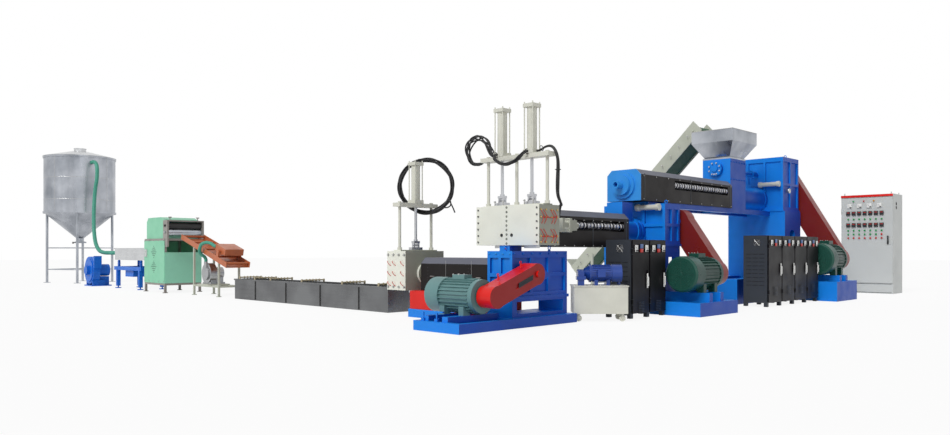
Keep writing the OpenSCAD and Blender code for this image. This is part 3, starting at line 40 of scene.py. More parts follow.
# camera, as tall as a person's chest and turned half way between the two rows
cameraSetup = {"place": (7.068, -7.829, 1.0), "turn": 45.0, "lens": 28.42, "shiftUp": 0.0353}
cameraData = bpy.data.cameras.new("viewCamera")
cameraData.lens = cameraSetup["lens"]
cameraData.sensor_width = 36.0
cameraData.shift_y = cameraSetup["shiftUp"]
cameraData.clip_end = 200.0
camera = bpy.data.objects.new("viewCamera", cameraData)
camera.location = cameraSetup["place"]
camera.rotation_euler = (math.radians(90), 0, math.radians(cameraSetup["turn"]))
bpy.context.scene.collection.objects.link(camera)
bpy.context.scene.camera = camera
print("camera placed")


# shader groups that several finishes share
def newGroup(name, inputs, outputs):
    group = bpy.data.node_groups.new(name, "ShaderNodeTree")
    for label, kind, value in inputs:
        socket = group.interface.new_socket(name=label, in_out="INPUT", socket_type=kind)
        socket.default_value = value
    for label, kind in outputs:
        group.interface.new_socket(name=label, in_out="OUTPUT", socket_type=kind)
    start = group.nodes.new("NodeGroupInput")
    end = group.nodes.new("NodeGroupOutput")
    return group, start, end


def addNoise(tree, vector, scale, detail):
    noise = tree.nodes.new("ShaderNodeTexNoise")
    noise.inputs["Detail"].default_value = detail
    tree.links.new(vector, noise.inputs["Vector"])
    if isinstance(scale, (int, float)):
        noise.inputs["Scale"].default_value = scale
    else:
        tree.links.new(scale, noise.inputs["Scale"])
    return noise.outputs["Fac"]


def addRange(tree, value, low, high, toLow, toHigh):
    step = tree.nodes.new("ShaderNodeMapRange")
    step.inputs["From Min"].default_value = low
    step.inputs["From Max"].default_value = high
    step.inputs["To Min"].default_value = toLow
    step.inputs["To Max"].default_value = toHigh
    tree.links.new(value, step.inputs["Value"])
    return step.outputs["Result"]


def addMath(tree, kind, first, second):
    step = tree.nodes.new("ShaderNodeMath")
    step.operation = kind
    for socket, value in zip(step.inputs, (first, second)):
        if isinstance(value, (int, float)):
            socket.default_value = value
        else:
            tree.links.new(value, socket)
    return step.outputs["Value"]


def addMix(tree, amount, first, second):
    mix = tree.nodes.new("ShaderNodeMix")
    mix.data_type = "RGBA"
    tree.links.new(amount, mix.inputs["Factor"])
    for socket, value in ((mix.inputs["A"], first), (mix.inputs["B"], second)):
        if isinstance(value, tuple):
            socket.default_value = value
        else:
            tree.links.new(value, socket)
    return mix.outputs["Result"]


def objectPlace(tree):
    return tree.nodes.new("ShaderNodeTexCoord").outputs["Object"]


def heightOf(tree, place):
    split = tree.nodes.new("ShaderNodeSeparateXYZ")
    tree.links.new(place, split.inputs["Vector"])
    return split.outputs


def makePaintTone():
    group, start, end = newGroup(
        "paintTone",
        [("Paint", "NodeSocketColor", (1, 1, 1, 1)), ("BlendTone", "NodeSocketColor", (0.2, 0.2, 0.2, 1)),
         ("Grain", "NodeSocketFloat", 5.0), ("BlendAmount", "NodeSocketFloat", 0.3), ("Gloss", "NodeSocketFloat", 0.35)],
        [("Colour", "NodeSocketColor"), ("Roughness", "NodeSocketFloat"), ("Height", "NodeSocketFloat")])
    place = objectPlace(group)
    cloud = addNoise(group, place, start.outputs["Grain"], 5)
    patches = addRange(group, cloud, 0.46, 0.78, 0.0, 1.0)
    # the second tone is mixed in at random patches and, more strongly, over the lowest 0.3 m near the floor
    low = addRange(group, heightOf(group, place)["Z"], 0.0, 0.3, 0.55, 0.0)
    amount = addMath(group, "MULTIPLY", addMath(group, "ADD", patches, low), start.outputs["BlendAmount"])
    colour = addMix(group, amount, start.outputs["Paint"], start.outputs["BlendTone"])
    group.links.new(colour, end.inputs["Colour"])
    rough = addMath(group, "ADD", start.outputs["Gloss"], addRange(group, cloud, 0.3, 0.8, -0.05, 0.16))
    group.links.new(rough, end.inputs["Roughness"])
    peel = addNoise(group, place, 140.0, 3)
    group.links.new(peel, end.inputs["Height"])
    return group


def makeBrushTone():
    group, start, end = newGroup(
        "brushTone",
        [("Metal", "NodeSocketColor", (0.7, 0.7, 0.7, 1)), ("StainAndReflection", "NodeSocketColor", (0.4, 0.4, 0.4, 1)),
         ("Along", "NodeSocketVector", (1, 1, 30)), ("Amount", "NodeSocketFloat", 0.4)],
        [("Colour", "NodeSocketColor"), ("Roughness", "NodeSocketFloat"), ("Height", "NodeSocketFloat")])
    place = objectPlace(group)
    stretch = group.nodes.new("ShaderNodeVectorMath")
    stretch.operation = "MULTIPLY"
    group.links.new(place, stretch.inputs[0])
    group.links.new(start.outputs["Along"], stretch.inputs[1])
    streaks = addNoise(group, stretch.outputs["Vector"], 3.0, 6)
    cloud = addNoise(group, place, 1.6, 4)
    # blotches of the second metal colour: real stains on most metals, painted reflection on polishedSheet
    mask = addMath(group, "MULTIPLY", addRange(group, cloud, 0.35, 0.75, 0.0, 1.0), start.outputs["Amount"])
    colour = addMix(group, mask, start.outputs["Metal"], start.outputs["StainAndReflection"])
    group.links.new(colour, end.inputs["Colour"])
    group.links.new(addRange(group, streaks, 0.3, 0.7, 0.22, 0.46), end.inputs["Roughness"])
    group.links.new(streaks, end.inputs["Height"])
    return group


def makeFineGrain():
    group, start, end = newGroup(
        "fineGrain",
        [("Base", "NodeSocketColor", (0.1, 0.1, 0.1, 1)), ("Dust", "NodeSocketColor", (0.3, 0.3, 0.3, 1)),
         ("Size", "NodeSocketFloat", 40.0), ("Amount", "NodeSocketFloat", 0.25)],
        [("Colour", "NodeSocketColor"), ("Roughness", "NodeSocketFloat"), ("Height", "NodeSocketFloat")])
    place = objectPlace(group)
    grain = addNoise(group, place, start.outputs["Size"], 6)
    cloud = addNoise(group, place, 4.0, 3)
    mask = addMath(group, "MULTIPLY", addRange(group, cloud, 0.4, 0.8, 0.0, 1.0), start.outputs["Amount"])
    group.links.new(addMix(group, mask, start.outputs["Base"], start.outputs["Dust"]), end.inputs["Colour"])
    group.links.new(addRange(group, grain, 0.2, 0.8, 0.45, 0.75), end.inputs["Roughness"])
    group.links.new(grain, end.inputs["Height"])
    return group


paintTone = makePaintTone()
brushTone = makeBrushTone()
fineGrain = makeFineGrain()


def startMaterial(name):
    material = bpy.data.materials.new(name)
    material.use_nodes = True
    shader = material.node_tree.nodes["Principled BSDF"]
    return material, material.node_tree, shader


def placeGroup(tree, group, values):
    node = tree.nodes.new("ShaderNodeGroup")
    node.node_tree = group
    for label, value in values.items():
        node.inputs[label].default_value = value
    return node


def joinBump(tree, height, shader, strength, distance):
    bump = tree.nodes.new("ShaderNodeBump")
    bump.inputs["Strength"].default_value = strength
    bump.inputs["Distance"].default_value = distance
    tree.links.new(height, bump.inputs["Height"])
    tree.links.new(bump.outputs["Normal"], shader.inputs["Normal"])


def rgba(colour):
    return (colour[0], colour[1], colour[2], 1.0)


def paintFinish(name, colour, blendTone=None, gloss=0.36, blendAmount=0.25, grain=4.0, sheen=0.3):
    material, tree, shader = startMaterial(name)
    blendTone = blendTone or tuple(c * 0.55 + 0.05 for c in colour)
    tone = placeGroup(tree, paintTone, {"Paint": rgba(colour), "BlendTone": rgba(blendTone), "Grain": grain,
                                        "BlendAmount": blendAmount, "Gloss": gloss})
    tree.links.new(tone.outputs["Colour"], shader.inputs["Base Color"])
    tree.links.new(tone.outputs["Roughness"], shader.inputs["Roughness"])
    shader.inputs["Specular IOR Level"].default_value = sheen
    joinBump(tree, tone.outputs["Height"], shader, 0.10, 0.002)
    return material


def metalFinish(name, colour, stainAndReflection=None, along=(1.0, 1.0, 24.0), amount=0.4):
    material, tree, shader = startMaterial(name)
    stainAndReflection = stainAndReflection or tuple(c * 0.6 for c in colour)
    tone = placeGroup(tree, brushTone, {"Metal": rgba(colour), "StainAndReflection": rgba(stainAndReflection), "Along": along,
                                        "Amount": amount})
    tree.links.new(tone.outputs["Colour"], shader.inputs["Base Color"])
    tree.links.new(tone.outputs["Roughness"], shader.inputs["Roughness"])
    shader.inputs["Metallic"].default_value = 1.0
    joinBump(tree, tone.outputs["Height"], shader, 0.12, 0.002)
    return material


def softFinish(name, colour, dust=None, size=60.0, amount=0.25, bump=0.25):
    material, tree, shader = startMaterial(name)
    dust = dust or tuple(c * 0.7 + 0.08 for c in colour)
    tone = placeGroup(tree, fineGrain, {"Base": rgba(colour), "Dust": rgba(dust), "Size": size, "Amount": amount})
    tree.links.new(tone.outputs["Colour"], shader.inputs["Base Color"])
    tree.links.new(tone.outputs["Roughness"], shader.inputs["Roughness"])
    joinBump(tree, tone.outputs["Height"], shader, bump, 0.003)
    return material


# faces turned upwards take the second colour, a painted highlight on the dark covers
def paintedTopLightFinish(name, side, top, gloss=0.4):
    material, tree, shader = startMaterial(name)
    tone = placeGroup(tree, paintTone, {"Paint": rgba(side), "BlendTone": rgba(tuple(c * 0.6 for c in side)),
                                        "Grain": 3.0, "BlendAmount": 0.4, "Gloss": gloss})
    facing = tree.nodes.new("ShaderNodeNewGeometry")
    split = tree.nodes.new("ShaderNodeSeparateXYZ")
    tree.links.new(facing.outputs["Normal"], split.inputs["Vector"])
    up = addRange(tree, split.outputs["Z"], 0.3, 0.4, 0.0, 1.0)
    colour = addMix(tree, up, tone.outputs["Colour"], rgba(top))
    tree.links.new(colour, shader.inputs["Base Color"])
    tree.links.new(tone.outputs["Roughness"], shader.inputs["Roughness"])
    shader.inputs["Specular IOR Level"].default_value = 0.22
    joinBump(tree, tone.outputs["Height"], shader, 0.1, 0.002)
    return material


def glowFinish(name, colour, strength):
    material, tree, shader = startMaterial(name)
    place = objectPlace(tree)
    cells = addNoise(tree, place, 90.0, 2)
    tree.links.new(addMix(tree, cells, rgba(colour), rgba(tuple(c * 0.5 for c in colour))), shader.inputs["Base Color"])
    shader.inputs["Emission Color"].default_value = rgba(colour)
    shader.inputs["Emission Strength"].default_value = strength
    shader.inputs["Roughness"].default_value = 0.25
    return material


# faces turned towards +X take the second tone: painted shade on the blue and cream, painted light on the mint
def paintedSideLightFinish(name, side, face, gloss=0.36):
    material, tree, shader = startMaterial(name)
    tone = placeGroup(tree, paintTone, {"Paint": rgba(side), "BlendTone": rgba(tuple(c * 0.7 for c in side)),
                                        "Grain": 4.0, "BlendAmount": 0.25, "Gloss": gloss})
    shade = placeGroup(tree, paintTone, {"Paint": rgba(face), "BlendTone": rgba(tuple(c * 0.7 for c in face)),
                                         "Grain": 5.0, "BlendAmount": 0.25, "Gloss": gloss})
    tree.links.new(addMix(tree, paintedSideLightMask(tree), tone.outputs["Colour"], shade.outputs["Colour"]),
                   shader.inputs["Base Color"])
    tree.links.new(tone.outputs["Roughness"], shader.inputs["Roughness"])
    shader.inputs["Specular IOR Level"].default_value = 0.3
    joinBump(tree, tone.outputs["Height"], shader, 0.1, 0.002)
    return material


# mask of the faces turned towards +X, where the painted side shade and light go
def paintedSideLightMask(tree):
    facing = tree.nodes.new("ShaderNodeNewGeometry")
    split = tree.nodes.new("ShaderNodeSeparateXYZ")
    tree.links.new(facing.outputs["Normal"], split.inputs["Vector"])
    return addRange(tree, split.outputs["X"], 0.72, 0.92, 0.0, 1.0)


# near pieces of a kind in one pair of tones, the far ones in another; in each pair the tone on +X faces is painted
# shade
def farFinish(name, side, face, farSide, farFace, gloss=0.32):
    material, tree, shader = startMaterial(name)
    tones = [placeGroup(tree, paintTone, {"Paint": rgba(c), "BlendTone": rgba(tuple(v * 0.7 for v in c)), "Grain": 5.0,
                                          "BlendAmount": 0.3, "Gloss": gloss}) for c in (side, face, farSide, farFace)]
    right = paintedSideLightMask(tree)
    near = addMix(tree, right, tones[0].outputs["Colour"], tones[1].outputs["Colour"])
    away = addMix(tree, right, tones[2].outputs["Colour"], tones[3].outputs["Colour"])
    along = addRange(tree, heightOf(tree, objectPlace(tree))["Y"], 1.4, 1.5, 0.0, 1.0)
    tree.links.new(addMix(tree, along, near, away), shader.inputs["Base Color"])
    tree.links.new(tones[0].outputs["Roughness"], shader.inputs["Roughness"])
    shader.inputs["Specular IOR Level"].default_value = 0.35
    joinBump(tree, tones[0].outputs["Height"], shader, 0.1, 0.002)
    return material


# bright ribs along Y with painted shade in the grooves between
def ribbedMetal(name, rib, paintedGrooveShade, pitch):
    material, tree, shader = startMaterial(name)
    tone = placeGroup(tree, brushTone, {"Metal": rgba(rib), "StainAndReflection": rgba(tuple(c * 0.6 for c in rib)),
                                        "Along": (1.0, 20.0, 1.0), "Amount": 0.5})
    wave = addMath(tree, "SINE", addMath(tree, "MULTIPLY", heightOf(tree, objectPlace(tree))["Y"], 2 * math.pi / pitch), 0.0)
    mask = addRange(tree, wave, -0.6, 0.3, 1.0, 0.0)
    tree.links.new(addMix(tree, mask, tone.outputs["Colour"], rgba(paintedGrooveShade)), shader.inputs["Base Color"])
    tree.links.new(tone.outputs["Roughness"], shader.inputs["Roughness"])
    shader.inputs["Metallic"].default_value = 1.0
    joinBump(tree, wave, shader, 0.5, 0.01)
    return material


finishes = {
    # polishedSheet's dark blotches are painted reflection of the polished sheet
    "polishedSheet": metalFinish("polishedSheet", (0.46, 0.48, 0.52), (0.16, 0.18, 0.21), (2.6, 2.6, 0.12), 0.8),
    "roofSheet": metalFinish("roofSheet", (0.60, 0.61, 0.62), (0.36, 0.37, 0.38), (1.0, 1.0, 6.0), 0.5),
    "machinedSteel": metalFinish("machinedSteel", (0.50, 0.50, 0.49), (0.28, 0.27, 0.26), (6.0, 6.0, 1.0), 0.4),
    "darkSteel": metalFinish("darkSteel", (0.16, 0.16, 0.16), (0.08, 0.075, 0.07), (4.0, 4.0, 4.0), 0.5),
    "tankSheet": metalFinish("tankSheet", (0.20, 0.205, 0.21), (0.10, 0.10, 0.105), (0.4, 8.0, 8.0), 0.8),
    "chromeRod": metalFinish("chromeRod", (0.52, 0.53, 0.55), (0.34, 0.34, 0.36), (1.0, 1.0, 0.3), 0.4),
    "ribbedDuct": ribbedMetal("ribbedDuct", (0.70, 0.70, 0.72), (0.10, 0.10, 0.105), 0.085),
    "greenHose": softFinish("greenHose", (0.05, 0.30, 0.21), (0.12, 0.42, 0.31), 30.0, 0.35),
    "blackHose": softFinish("blackHose", (0.008, 0.008, 0.009), (0.03, 0.03, 0.033), 60.0, 0.4),
    "beltRubber": softFinish("beltRubber", (0.012, 0.07, 0.03), (0.03, 0.11, 0.05), 25.0, 0.4),
    "rollerRubber": softFinish("rollerRubber", (0.02, 0.02, 0.02), (0.07, 0.07, 0.07), 80.0, 0.3),
    "whitePlastic": softFinish("whitePlastic", (0.78, 0.78, 0.76), (0.6, 0.6, 0.58), 50.0, 0.2, 0.05),
    "blackPlastic": softFinish("blackPlastic", (0.012, 0.012, 0.014), (0.04, 0.04, 0.04), 90.0, 0.2, 0.1),
    "lightBlue": paintFinish("lightBlue", (0.035, 0.30, 0.78), (0.02, 0.17, 0.48)),
    # the second tones of machineBlue and creamPaint are painted shade on +X faces, that of mintPaint painted light
    "machineBlue": paintedSideLightFinish("machineBlue", (0.006, 0.23, 0.80), (0.002, 0.06, 0.40)),
    # a darker copy of the blue for bolts on +X faces: painted shade
    "paintedShadeBlue": paintFinish("paintedShadeBlue", (0.006, 0.10, 0.48), (0.004, 0.05, 0.25)),
    "blowerBlue": paintFinish("blowerBlue", (0.006, 0.14, 0.62), (0.005, 0.07, 0.34)),
    "creamPaint": paintedSideLightFinish("creamPaint", (0.80, 0.81, 0.72), (0.31, 0.32, 0.27), 0.34),
    "creamTurned": paintFinish("creamTurned", (0.66, 0.66, 0.58), (0.42, 0.42, 0.36), 0.34, 0.35, 3.0),
    "creamDark": paintFinish("creamDark", (0.26, 0.27, 0.23), (0.18, 0.18, 0.15), 0.35, 0.35, 3.0),
    "signalRed": paintFinish("signalRed", (0.72, 0.012, 0.008), (0.42, 0.008, 0.006), 0.30),
    "guardRed": farFinish("guardRed", (0.72, 0.010, 0.006), (0.27, 0.003, 0.003), (0.20, 0.014, 0.010), (0.20, 0.018, 0.012)),
    "motorGreen": farFinish("motorGreen", (0.13, 0.26, 0.26), (0.10, 0.21, 0.21), (0.012, 0.075, 0.055), (0.010, 0.05, 0.04)),
    # the grey-blue on the covers' upper faces is a painted highlight
    "coverBrown": paintedTopLightFinish("coverBrown", (0.005, 0.0028, 0.0025), (0.13, 0.135, 0.17)),
    "mintPaint": paintedSideLightFinish("mintPaint", (0.24, 0.60, 0.40), (0.30, 0.68, 0.50), 0.35),
    "greyFrame": paintFinish("greyFrame", (0.30, 0.28, 0.26), (0.16, 0.14, 0.13), 0.4),
    "copperSheet": paintFinish("copperSheet", (0.50, 0.14, 0.055), (0.26, 0.08, 0.035), 0.3, 0.5, 3.0),
    "sagePaint": paintFinish("sagePaint", (0.50, 0.52, 0.44), (0.32, 0.35, 0.29), 0.42, 0.4, 3.0),
    "slatePaint": paintFinish("slatePaint", (0.040, 0.046, 0.056), (0.024, 0.027, 0.032), 0.42, 0.25, 4.0, 0.25),
    "nightPaint": paintFinish("nightPaint", (0.006, 0.005, 0.0065), (0.013, 0.012, 0.015), 0.38, 0.3, 4.0, 0.2),
    "paleGrey": paintFinish("paleGrey", (0.56, 0.58, 0.57), (0.42, 0.43, 0.43), 0.4, 0.2, 2.0),
    "motorBlue": paintFinish("motorBlue", (0.012, 0.055, 0.30), (0.007, 0.022, 0.13), 0.26, 0.25, 4.0, 0.5),
    "castAlloy": metalFinish("castAlloy", (0.42, 0.43, 0.44), (0.24, 0.24, 0.25), (3.0, 3.0, 3.0), 0.5),
    "brassFitting": metalFinish("brassFitting", (0.55, 0.38, 0.15), (0.32, 0.22, 0.09), (4.0, 4.0, 4.0), 0.3),
    "guideNylon": softFinish("guideNylon", (0.42, 0.36, 0.24), (0.26, 0.22, 0.15), 40.0, 0.3, 0.1),
    "redKnob": paintFinish("redKnob", (0.62, 0.010, 0.008), (0.35, 0.008, 0.006), 0.25),
    "waterFilm": softFinish("waterFilm", (0.035, 0.05, 0.055), (0.07, 0.09, 0.10), 8.0, 0.5, 0.05),
    "greenLamp": glowFinish("greenLamp", (0.02, 0.34, 0.09), 0.12),
    "redLamp": glowFinish("redLamp", (0.55, 0.02, 0.015), 0.12),
    "amberLamp": glowFinish("amberLamp", (0.70, 0.28, 0.02), 0.15),
    "blueDisplay": glowFinish("blueDisplay", (0.07, 0.14, 0.34), 0.15),
    "redWire": softFinish("redWire", (0.52, 0.03, 0.02), (0.34, 0.06, 0.05), 60.0, 0.2),
}

nodeFinish = {
    "polishedSheet": ["silo_shell", "silo_legs", "feed_hopper", "cutter_lower_roller"],
    "roofSheet": ["silo_roof", "sieve_tray"],
    "darkSteel": ["silo_slide_gate"],
    "chromeRod": ["stage3_slide", "stage2_slide_left", "stage2_slide_right"],
    "tankSheet": ["cooling_tank"],
    "ribbedDuct": ["cooling_ducts"],
    "greenHose": ["conveying_hose", "suction_hose"],
    "blackHose": ["hydraulic_hoses"],
    "blowerBlue": ["conveying_blower", "sieve_frame"],
    "greyFrame": ["cutter_frame"],
    "mintPaint": ["cutter_covers"],
    "rollerRubber": ["cutter_upper_roller"],
    "copperSheet": ["dewatering_chute"],
    "sagePaint": ["chute_stand", "conveyor_frame"],
    "castAlloy": ["ring_blower"],
    "guideNylon": ["strand_guides"],
    "lightBlue": ["stage1_die_head"],
    "machineBlue": ["stage3_base", "stage2_stand", "stage1_frame", "gearboxes", "feed_box"],
    "signalRed": ["stage3_support_cabinet"],
    "creamPaint": ["stage3_changer", "stage2_changer", "side_cylinder"],
    "creamTurned": ["oil_coolers", "hydraulic_tank", "stage3_gantry", "stage2_gantry"],
    "motorGreen": ["drive_motors"],
    "guardRed": ["belt_guards"],
    "coverBrown": ["barrel_covers"],
    "beltRubber": ["conveyor_belt"],
    "motorBlue": ["hydraulic_pump_set"],
    "slatePaint": ["small_heater_cabinet", "large_heater_cabinet"],
    "nightPaint": ["small_door_1", "small_door_2", "large_door_1", "large_door_2", "large_door_3", "large_door_4"],
    "paleGrey": ["control_cabinet", "control_door"],
}
for finish, nodeNames in nodeFinish.items():
    for nodeName in nodeNames:
        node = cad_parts[nodeName]
        for slot in node.material_slots:
            slot.material = finishes[finish]
print("finishes on", sum(len(v) for v in nodeFinish.values()), "nodes")


# modelling helpers: each starts from a primitive and leaves its place in the mesh
def dropSelection():
    bpy.ops.object.select_all(action="DESELECT")


def settle(piece):
    dropSelection()
    piece.select_set(True)
    bpy.context.view_layer.objects.active = piece
    bpy.ops.object.transform_apply(location=True, rotation=True, scale=True)


def softenEdges(piece, width, steps=2):
    bevel = piece.modifiers.new("softEdges", "BEVEL")
    bevel.width = width
    bevel.segments = steps
    bevel.limit_method = "ANGLE"
    bpy.context.view_layer.objects.active = piece
    bpy.ops.object.modifier_apply(modifier=bevel.name)


def block(low, high, edge=0.003):
    dropSelection()
    middle = [(a + b) / 2 for a, b in zip(low, high)]
    bpy.ops.mesh.primitive_cube_add(size=1, location=middle)
    piece = bpy.context.object
    piece.scale = [abs(b - a) for a, b in zip(low, high)]
    settle(piece)
    if edge:
        softenEdges(piece, edge)
    return piece


def rod(start, end, radius, sides=24, edge=0.0, endRadius=None):
    dropSelection()
    a = Vector(start)
    b = Vector(end)
    if endRadius is None:
        bpy.ops.mesh.primitive_cylinder_add(vertices=sides, radius=radius, depth=(b - a).length, location=(a + b) / 2)
    else:
        bpy.ops.mesh.primitive_cone_add(vertices=sides, radius1=radius, radius2=endRadius, depth=(b - a).length,
                                        location=(a + b) / 2)
    piece = bpy.context.object
    piece.rotation_euler = (b - a).to_track_quat("Z", "Y").to_euler()
    settle(piece)
    if edge:
        softenEdges(piece, edge)
    return piece


def ring(centre, normal, radius, tube, around=32, section=10):
    dropSelection()
    bpy.ops.mesh.primitive_torus_add(major_radius=radius, minor_radius=tube, major_segments=around,
                                     minor_segments=section, location=centre)
    piece = bpy.context.object
    piece.rotation_euler = Vector(normal).to_track_quat("Z", "Y").to_euler()
    settle(piece)
    return piece


def hexScrew(place, normal, radius, height):
    a = Vector(place)
    n = Vector(normal).normalized()
    washer = rod(a, a + n * height * 0.25, radius * 1.35, 12)
    head = rod(a + n * height * 0.2, a + n * height, radius, 6, radius * 0.12)
    return joinParts([washer, head])


def socketScrew(place, normal, radius, height):
    a = Vector(place)
    n = Vector(normal).normalized()
    head = rod(a, a + n * height, radius, 12)
    dropSelection()
    head.select_set(True)
    bpy.context.view_layer.objects.active = head
    bpy.ops.object.mode_set(mode="EDIT")
    bpy.ops.mesh.select_all(action="DESELECT")
    bpy.ops.object.mode_set(mode="OBJECT")
    for face in head.data.polygons:
        face.select = face.normal.dot(n) > 0.9
    bpy.ops.object.mode_set(mode="EDIT")
    bpy.ops.mesh.inset(thickness=radius * 0.45)
    bpy.ops.transform.translate(value=tuple(-n * height * 0.6))
    bpy.ops.object.mode_set(mode="OBJECT")
    return head


def joinParts(parts):
    dropSelection()
    for part in parts:
        part.select_set(True)
    bpy.context.view_layer.objects.active = parts[0]
    if len(parts) > 1:
        bpy.ops.object.join()
    return bpy.context.view_layer.objects.active


def copyTo(seed, moves):
    copies = [seed]
    for move in moves:
        twin = bpy.data.objects.new(seed.name, seed.data.copy())
        bpy.context.scene.collection.objects.link(twin)
        twin.data.transform(Matrix.Translation(move))
        copies.append(twin)
    return joinParts(copies)


def finishPiece(piece, name, finish, body="plant", smooth=True):
    piece.name = name
    piece.data.name = name
    piece.data.materials.clear()
    piece.data.materials.append(finishes[finish])
    if smooth:
        dropSelection()
        piece.select_set(True)
        bpy.context.view_layer.objects.active = piece
        bpy.ops.object.shade_smooth_by_angle(angle=math.radians(35))
    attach(piece, body)
    return piece


def curveTube(name, points, radius, finish, body="plant", around=3, smoothBy="NURBS"):
    data = bpy.data.curves.new(name, "CURVE")
    data.dimensions = "3D"
    data.bevel_depth = radius
    data.bevel_resolution = around
    data.use_fill_caps = True
    spline = data.splines.new(smoothBy)
    spline.points.add(len(points) - 1)
    for point, place in zip(spline.points, points):
        point.co = (place[0], place[1], place[2], 1.0)
    if smoothBy == "NURBS":
        spline.order_u = 3
        spline.use_endpoint_u = True
    piece = bpy.data.objects.new(name, data)
    bpy.context.scene.collection.objects.link(piece)
    piece.data.materials.append(finishes[finish])
    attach(piece, body)
    return piece


# a smooth route through given points, as the CAD hose runs
def smoothRoute(points, steps):
    route = []
    for i in range(len(points) - 1):
        a = Vector(points[max(i - 1, 0)])
        b = Vector(points[i])
        c = Vector(points[i + 1])
        d = Vector(points[min(i + 2, len(points) - 1)])
        for k in range(steps):
            t = k / steps
            route.append(0.5 * (2 * b + (c - a) * t + (2 * a - 5 * b + 4 * c - d) * t * t
                                + (3 * b - a - 3 * c + d) * t * t * t))
    route.append(Vector(points[-1]))
    return route


def sideVectors(route):
    sides = []
    side = Vector((0.3, 0.9, 0.2))
    for i, point in enumerate(route):
        along = (route[min(i + 1, len(route) - 1)] - route[max(i - 1, 0)]).normalized()
        side = (side - along * side.dot(along)).normalized()
        sides.append((along, side, along.cross(side)))
    return sides


def evenRoute(points, gap):
    fine = smoothRoute(points, 24)
    lengths = [0.0]
    for a, b in zip(fine, fine[1:]):
        lengths.append(lengths[-1] + (b - a).length)
    count = max(int(lengths[-1] / gap), 8)
    route = []
    j = 0
    for i in range(count + 1):
        target = lengths[-1] * i / count
        while j < len(fine) - 2 and lengths[j + 1] < target:
            j += 1
        share = (target - lengths[j]) / max(lengths[j + 1] - lengths[j], 1e-9)
        route.append(fine[j].lerp(fine[j + 1], min(max(share, 0.0), 1.0)))
    return route, lengths[-1]


def ribbedHose(name, points, radius, pitch, finish):
    route, length = evenRoute(points, pitch / 4)
    sides = sideVectors(route)
    around = 20
    verts = []
    for i, (point, (along, u, v)) in enumerate(zip(route, sides)):
        r = radius * (0.955 + 0.045 * math.cos(math.pi * i / 2))
        for k in range(around):
            turn = 2 * math.pi * k / around
            verts.append(point + u * (r * math.cos(turn)) + v * (r * math.sin(turn)))
    faces = [tuple(reversed(range(around)))]
    for i in range(len(route) - 1):
        for k in range(around):
            a = i * around + k
            b = i * around + (k + 1) % around
            faces.append((a, b, b + around, a + around))
    last = (len(route) - 1) * around
    faces.append(tuple(last + k for k in range(around)))
    mesh = bpy.data.meshes.new(name)
    mesh.from_pydata(verts, [], faces)
    piece = bpy.data.objects.new(name, mesh)
    bpy.context.scene.collection.objects.link(piece)
    mesh.materials.append(finishes[finish])
    mesh.shade_smooth()
    return piece, route, length


# the two green hoses
siloHose = {
    "radius": 0.055, "pitch": 0.045,
    "points": [(-17.93, 0.25, 3.76), (-17.705, 0.25, 3.76), (-17.485, 0.24, 3.69), (-17.33, 0.22, 3.52),
               (-17.26, 0.19, 3.2), (-17.27, 0.15, 2.9), (-17.24, 0.11, 2.5), (-17.13, 0.06, 2.05),
               (-16.95, 0.01, 1.6), (-16.7, -0.03, 1.25), (-16.35, -0.05, 1.03), (-15.95, -0.06, 0.96),
               (-15.5, -0.06, 0.95), (-14.97, -0.06, 0.95), (-14.67, -0.06, 0.95), (-14.41, -0.06, 0.95)],
}
conveyingHose, hoseRoute, hoseLength = ribbedHose("conveyingHose", siloHose["points"], siloHose["radius"],
                                                  siloHose["pitch"], "greenHose")
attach(conveyingHose, "plant")
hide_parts("conveying_hose")

airHose = {
    "radius": 0.038, "pitch": 0.03,
    "points": [(-9.14, -0.18, 0.7603), (-9.14, -0.18, 0.785), (-9.14, -0.18, 0.81), (-9.138, -0.215, 0.87),
               (-9.128, -0.29, 0.92), (-9.1, -0.34, 0.985), (-9.05, -0.362, 1.065), (-8.99, -0.35, 1.15),
               (-8.9, -0.29, 1.19),
               (-8.8, -0.23, 1.17), (-8.7, -0.205, 1.122), (-8.602, -0.2, 1.094)],
}
suctionHose, airRoute, airLength = ribbedHose("suctionHose", airHose["points"], airHose["radius"],
                                              airHose["pitch"], "greenHose")
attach(suctionHose, "plant")
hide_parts("suction_hose")
print("hoses laid:", round(hoseLength, 3), "m and", round(airLength, 3), "m")

# several bent wires or strands in one curve
def strandSet(name, routes, radius, finish, body="plant"):
    data = bpy.data.curves.new(name, "CURVE")
    data.dimensions = "3D"
    data.bevel_depth = radius
    data.bevel_resolution = 2
    data.resolution_u = 4
    data.use_fill_caps = True
    for route in routes:
        spline = data.splines.new("NURBS")
        spline.points.add(len(route) - 1)
        for point, place in zip(spline.points, route):
            point.co = (place[0], place[1], place[2], 1.0)
        spline.order_u = 3
        spline.use_endpoint_u = True
    piece = bpy.data.objects.new(name, data)
    bpy.context.scene.collection.objects.link(piece)
    data.materials.append(finishes[finish])
    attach(piece, body)
    return piece


def spacedValues(low, high, count):
    return [low + (high - low) * i / (count - 1) for i in range(count)]


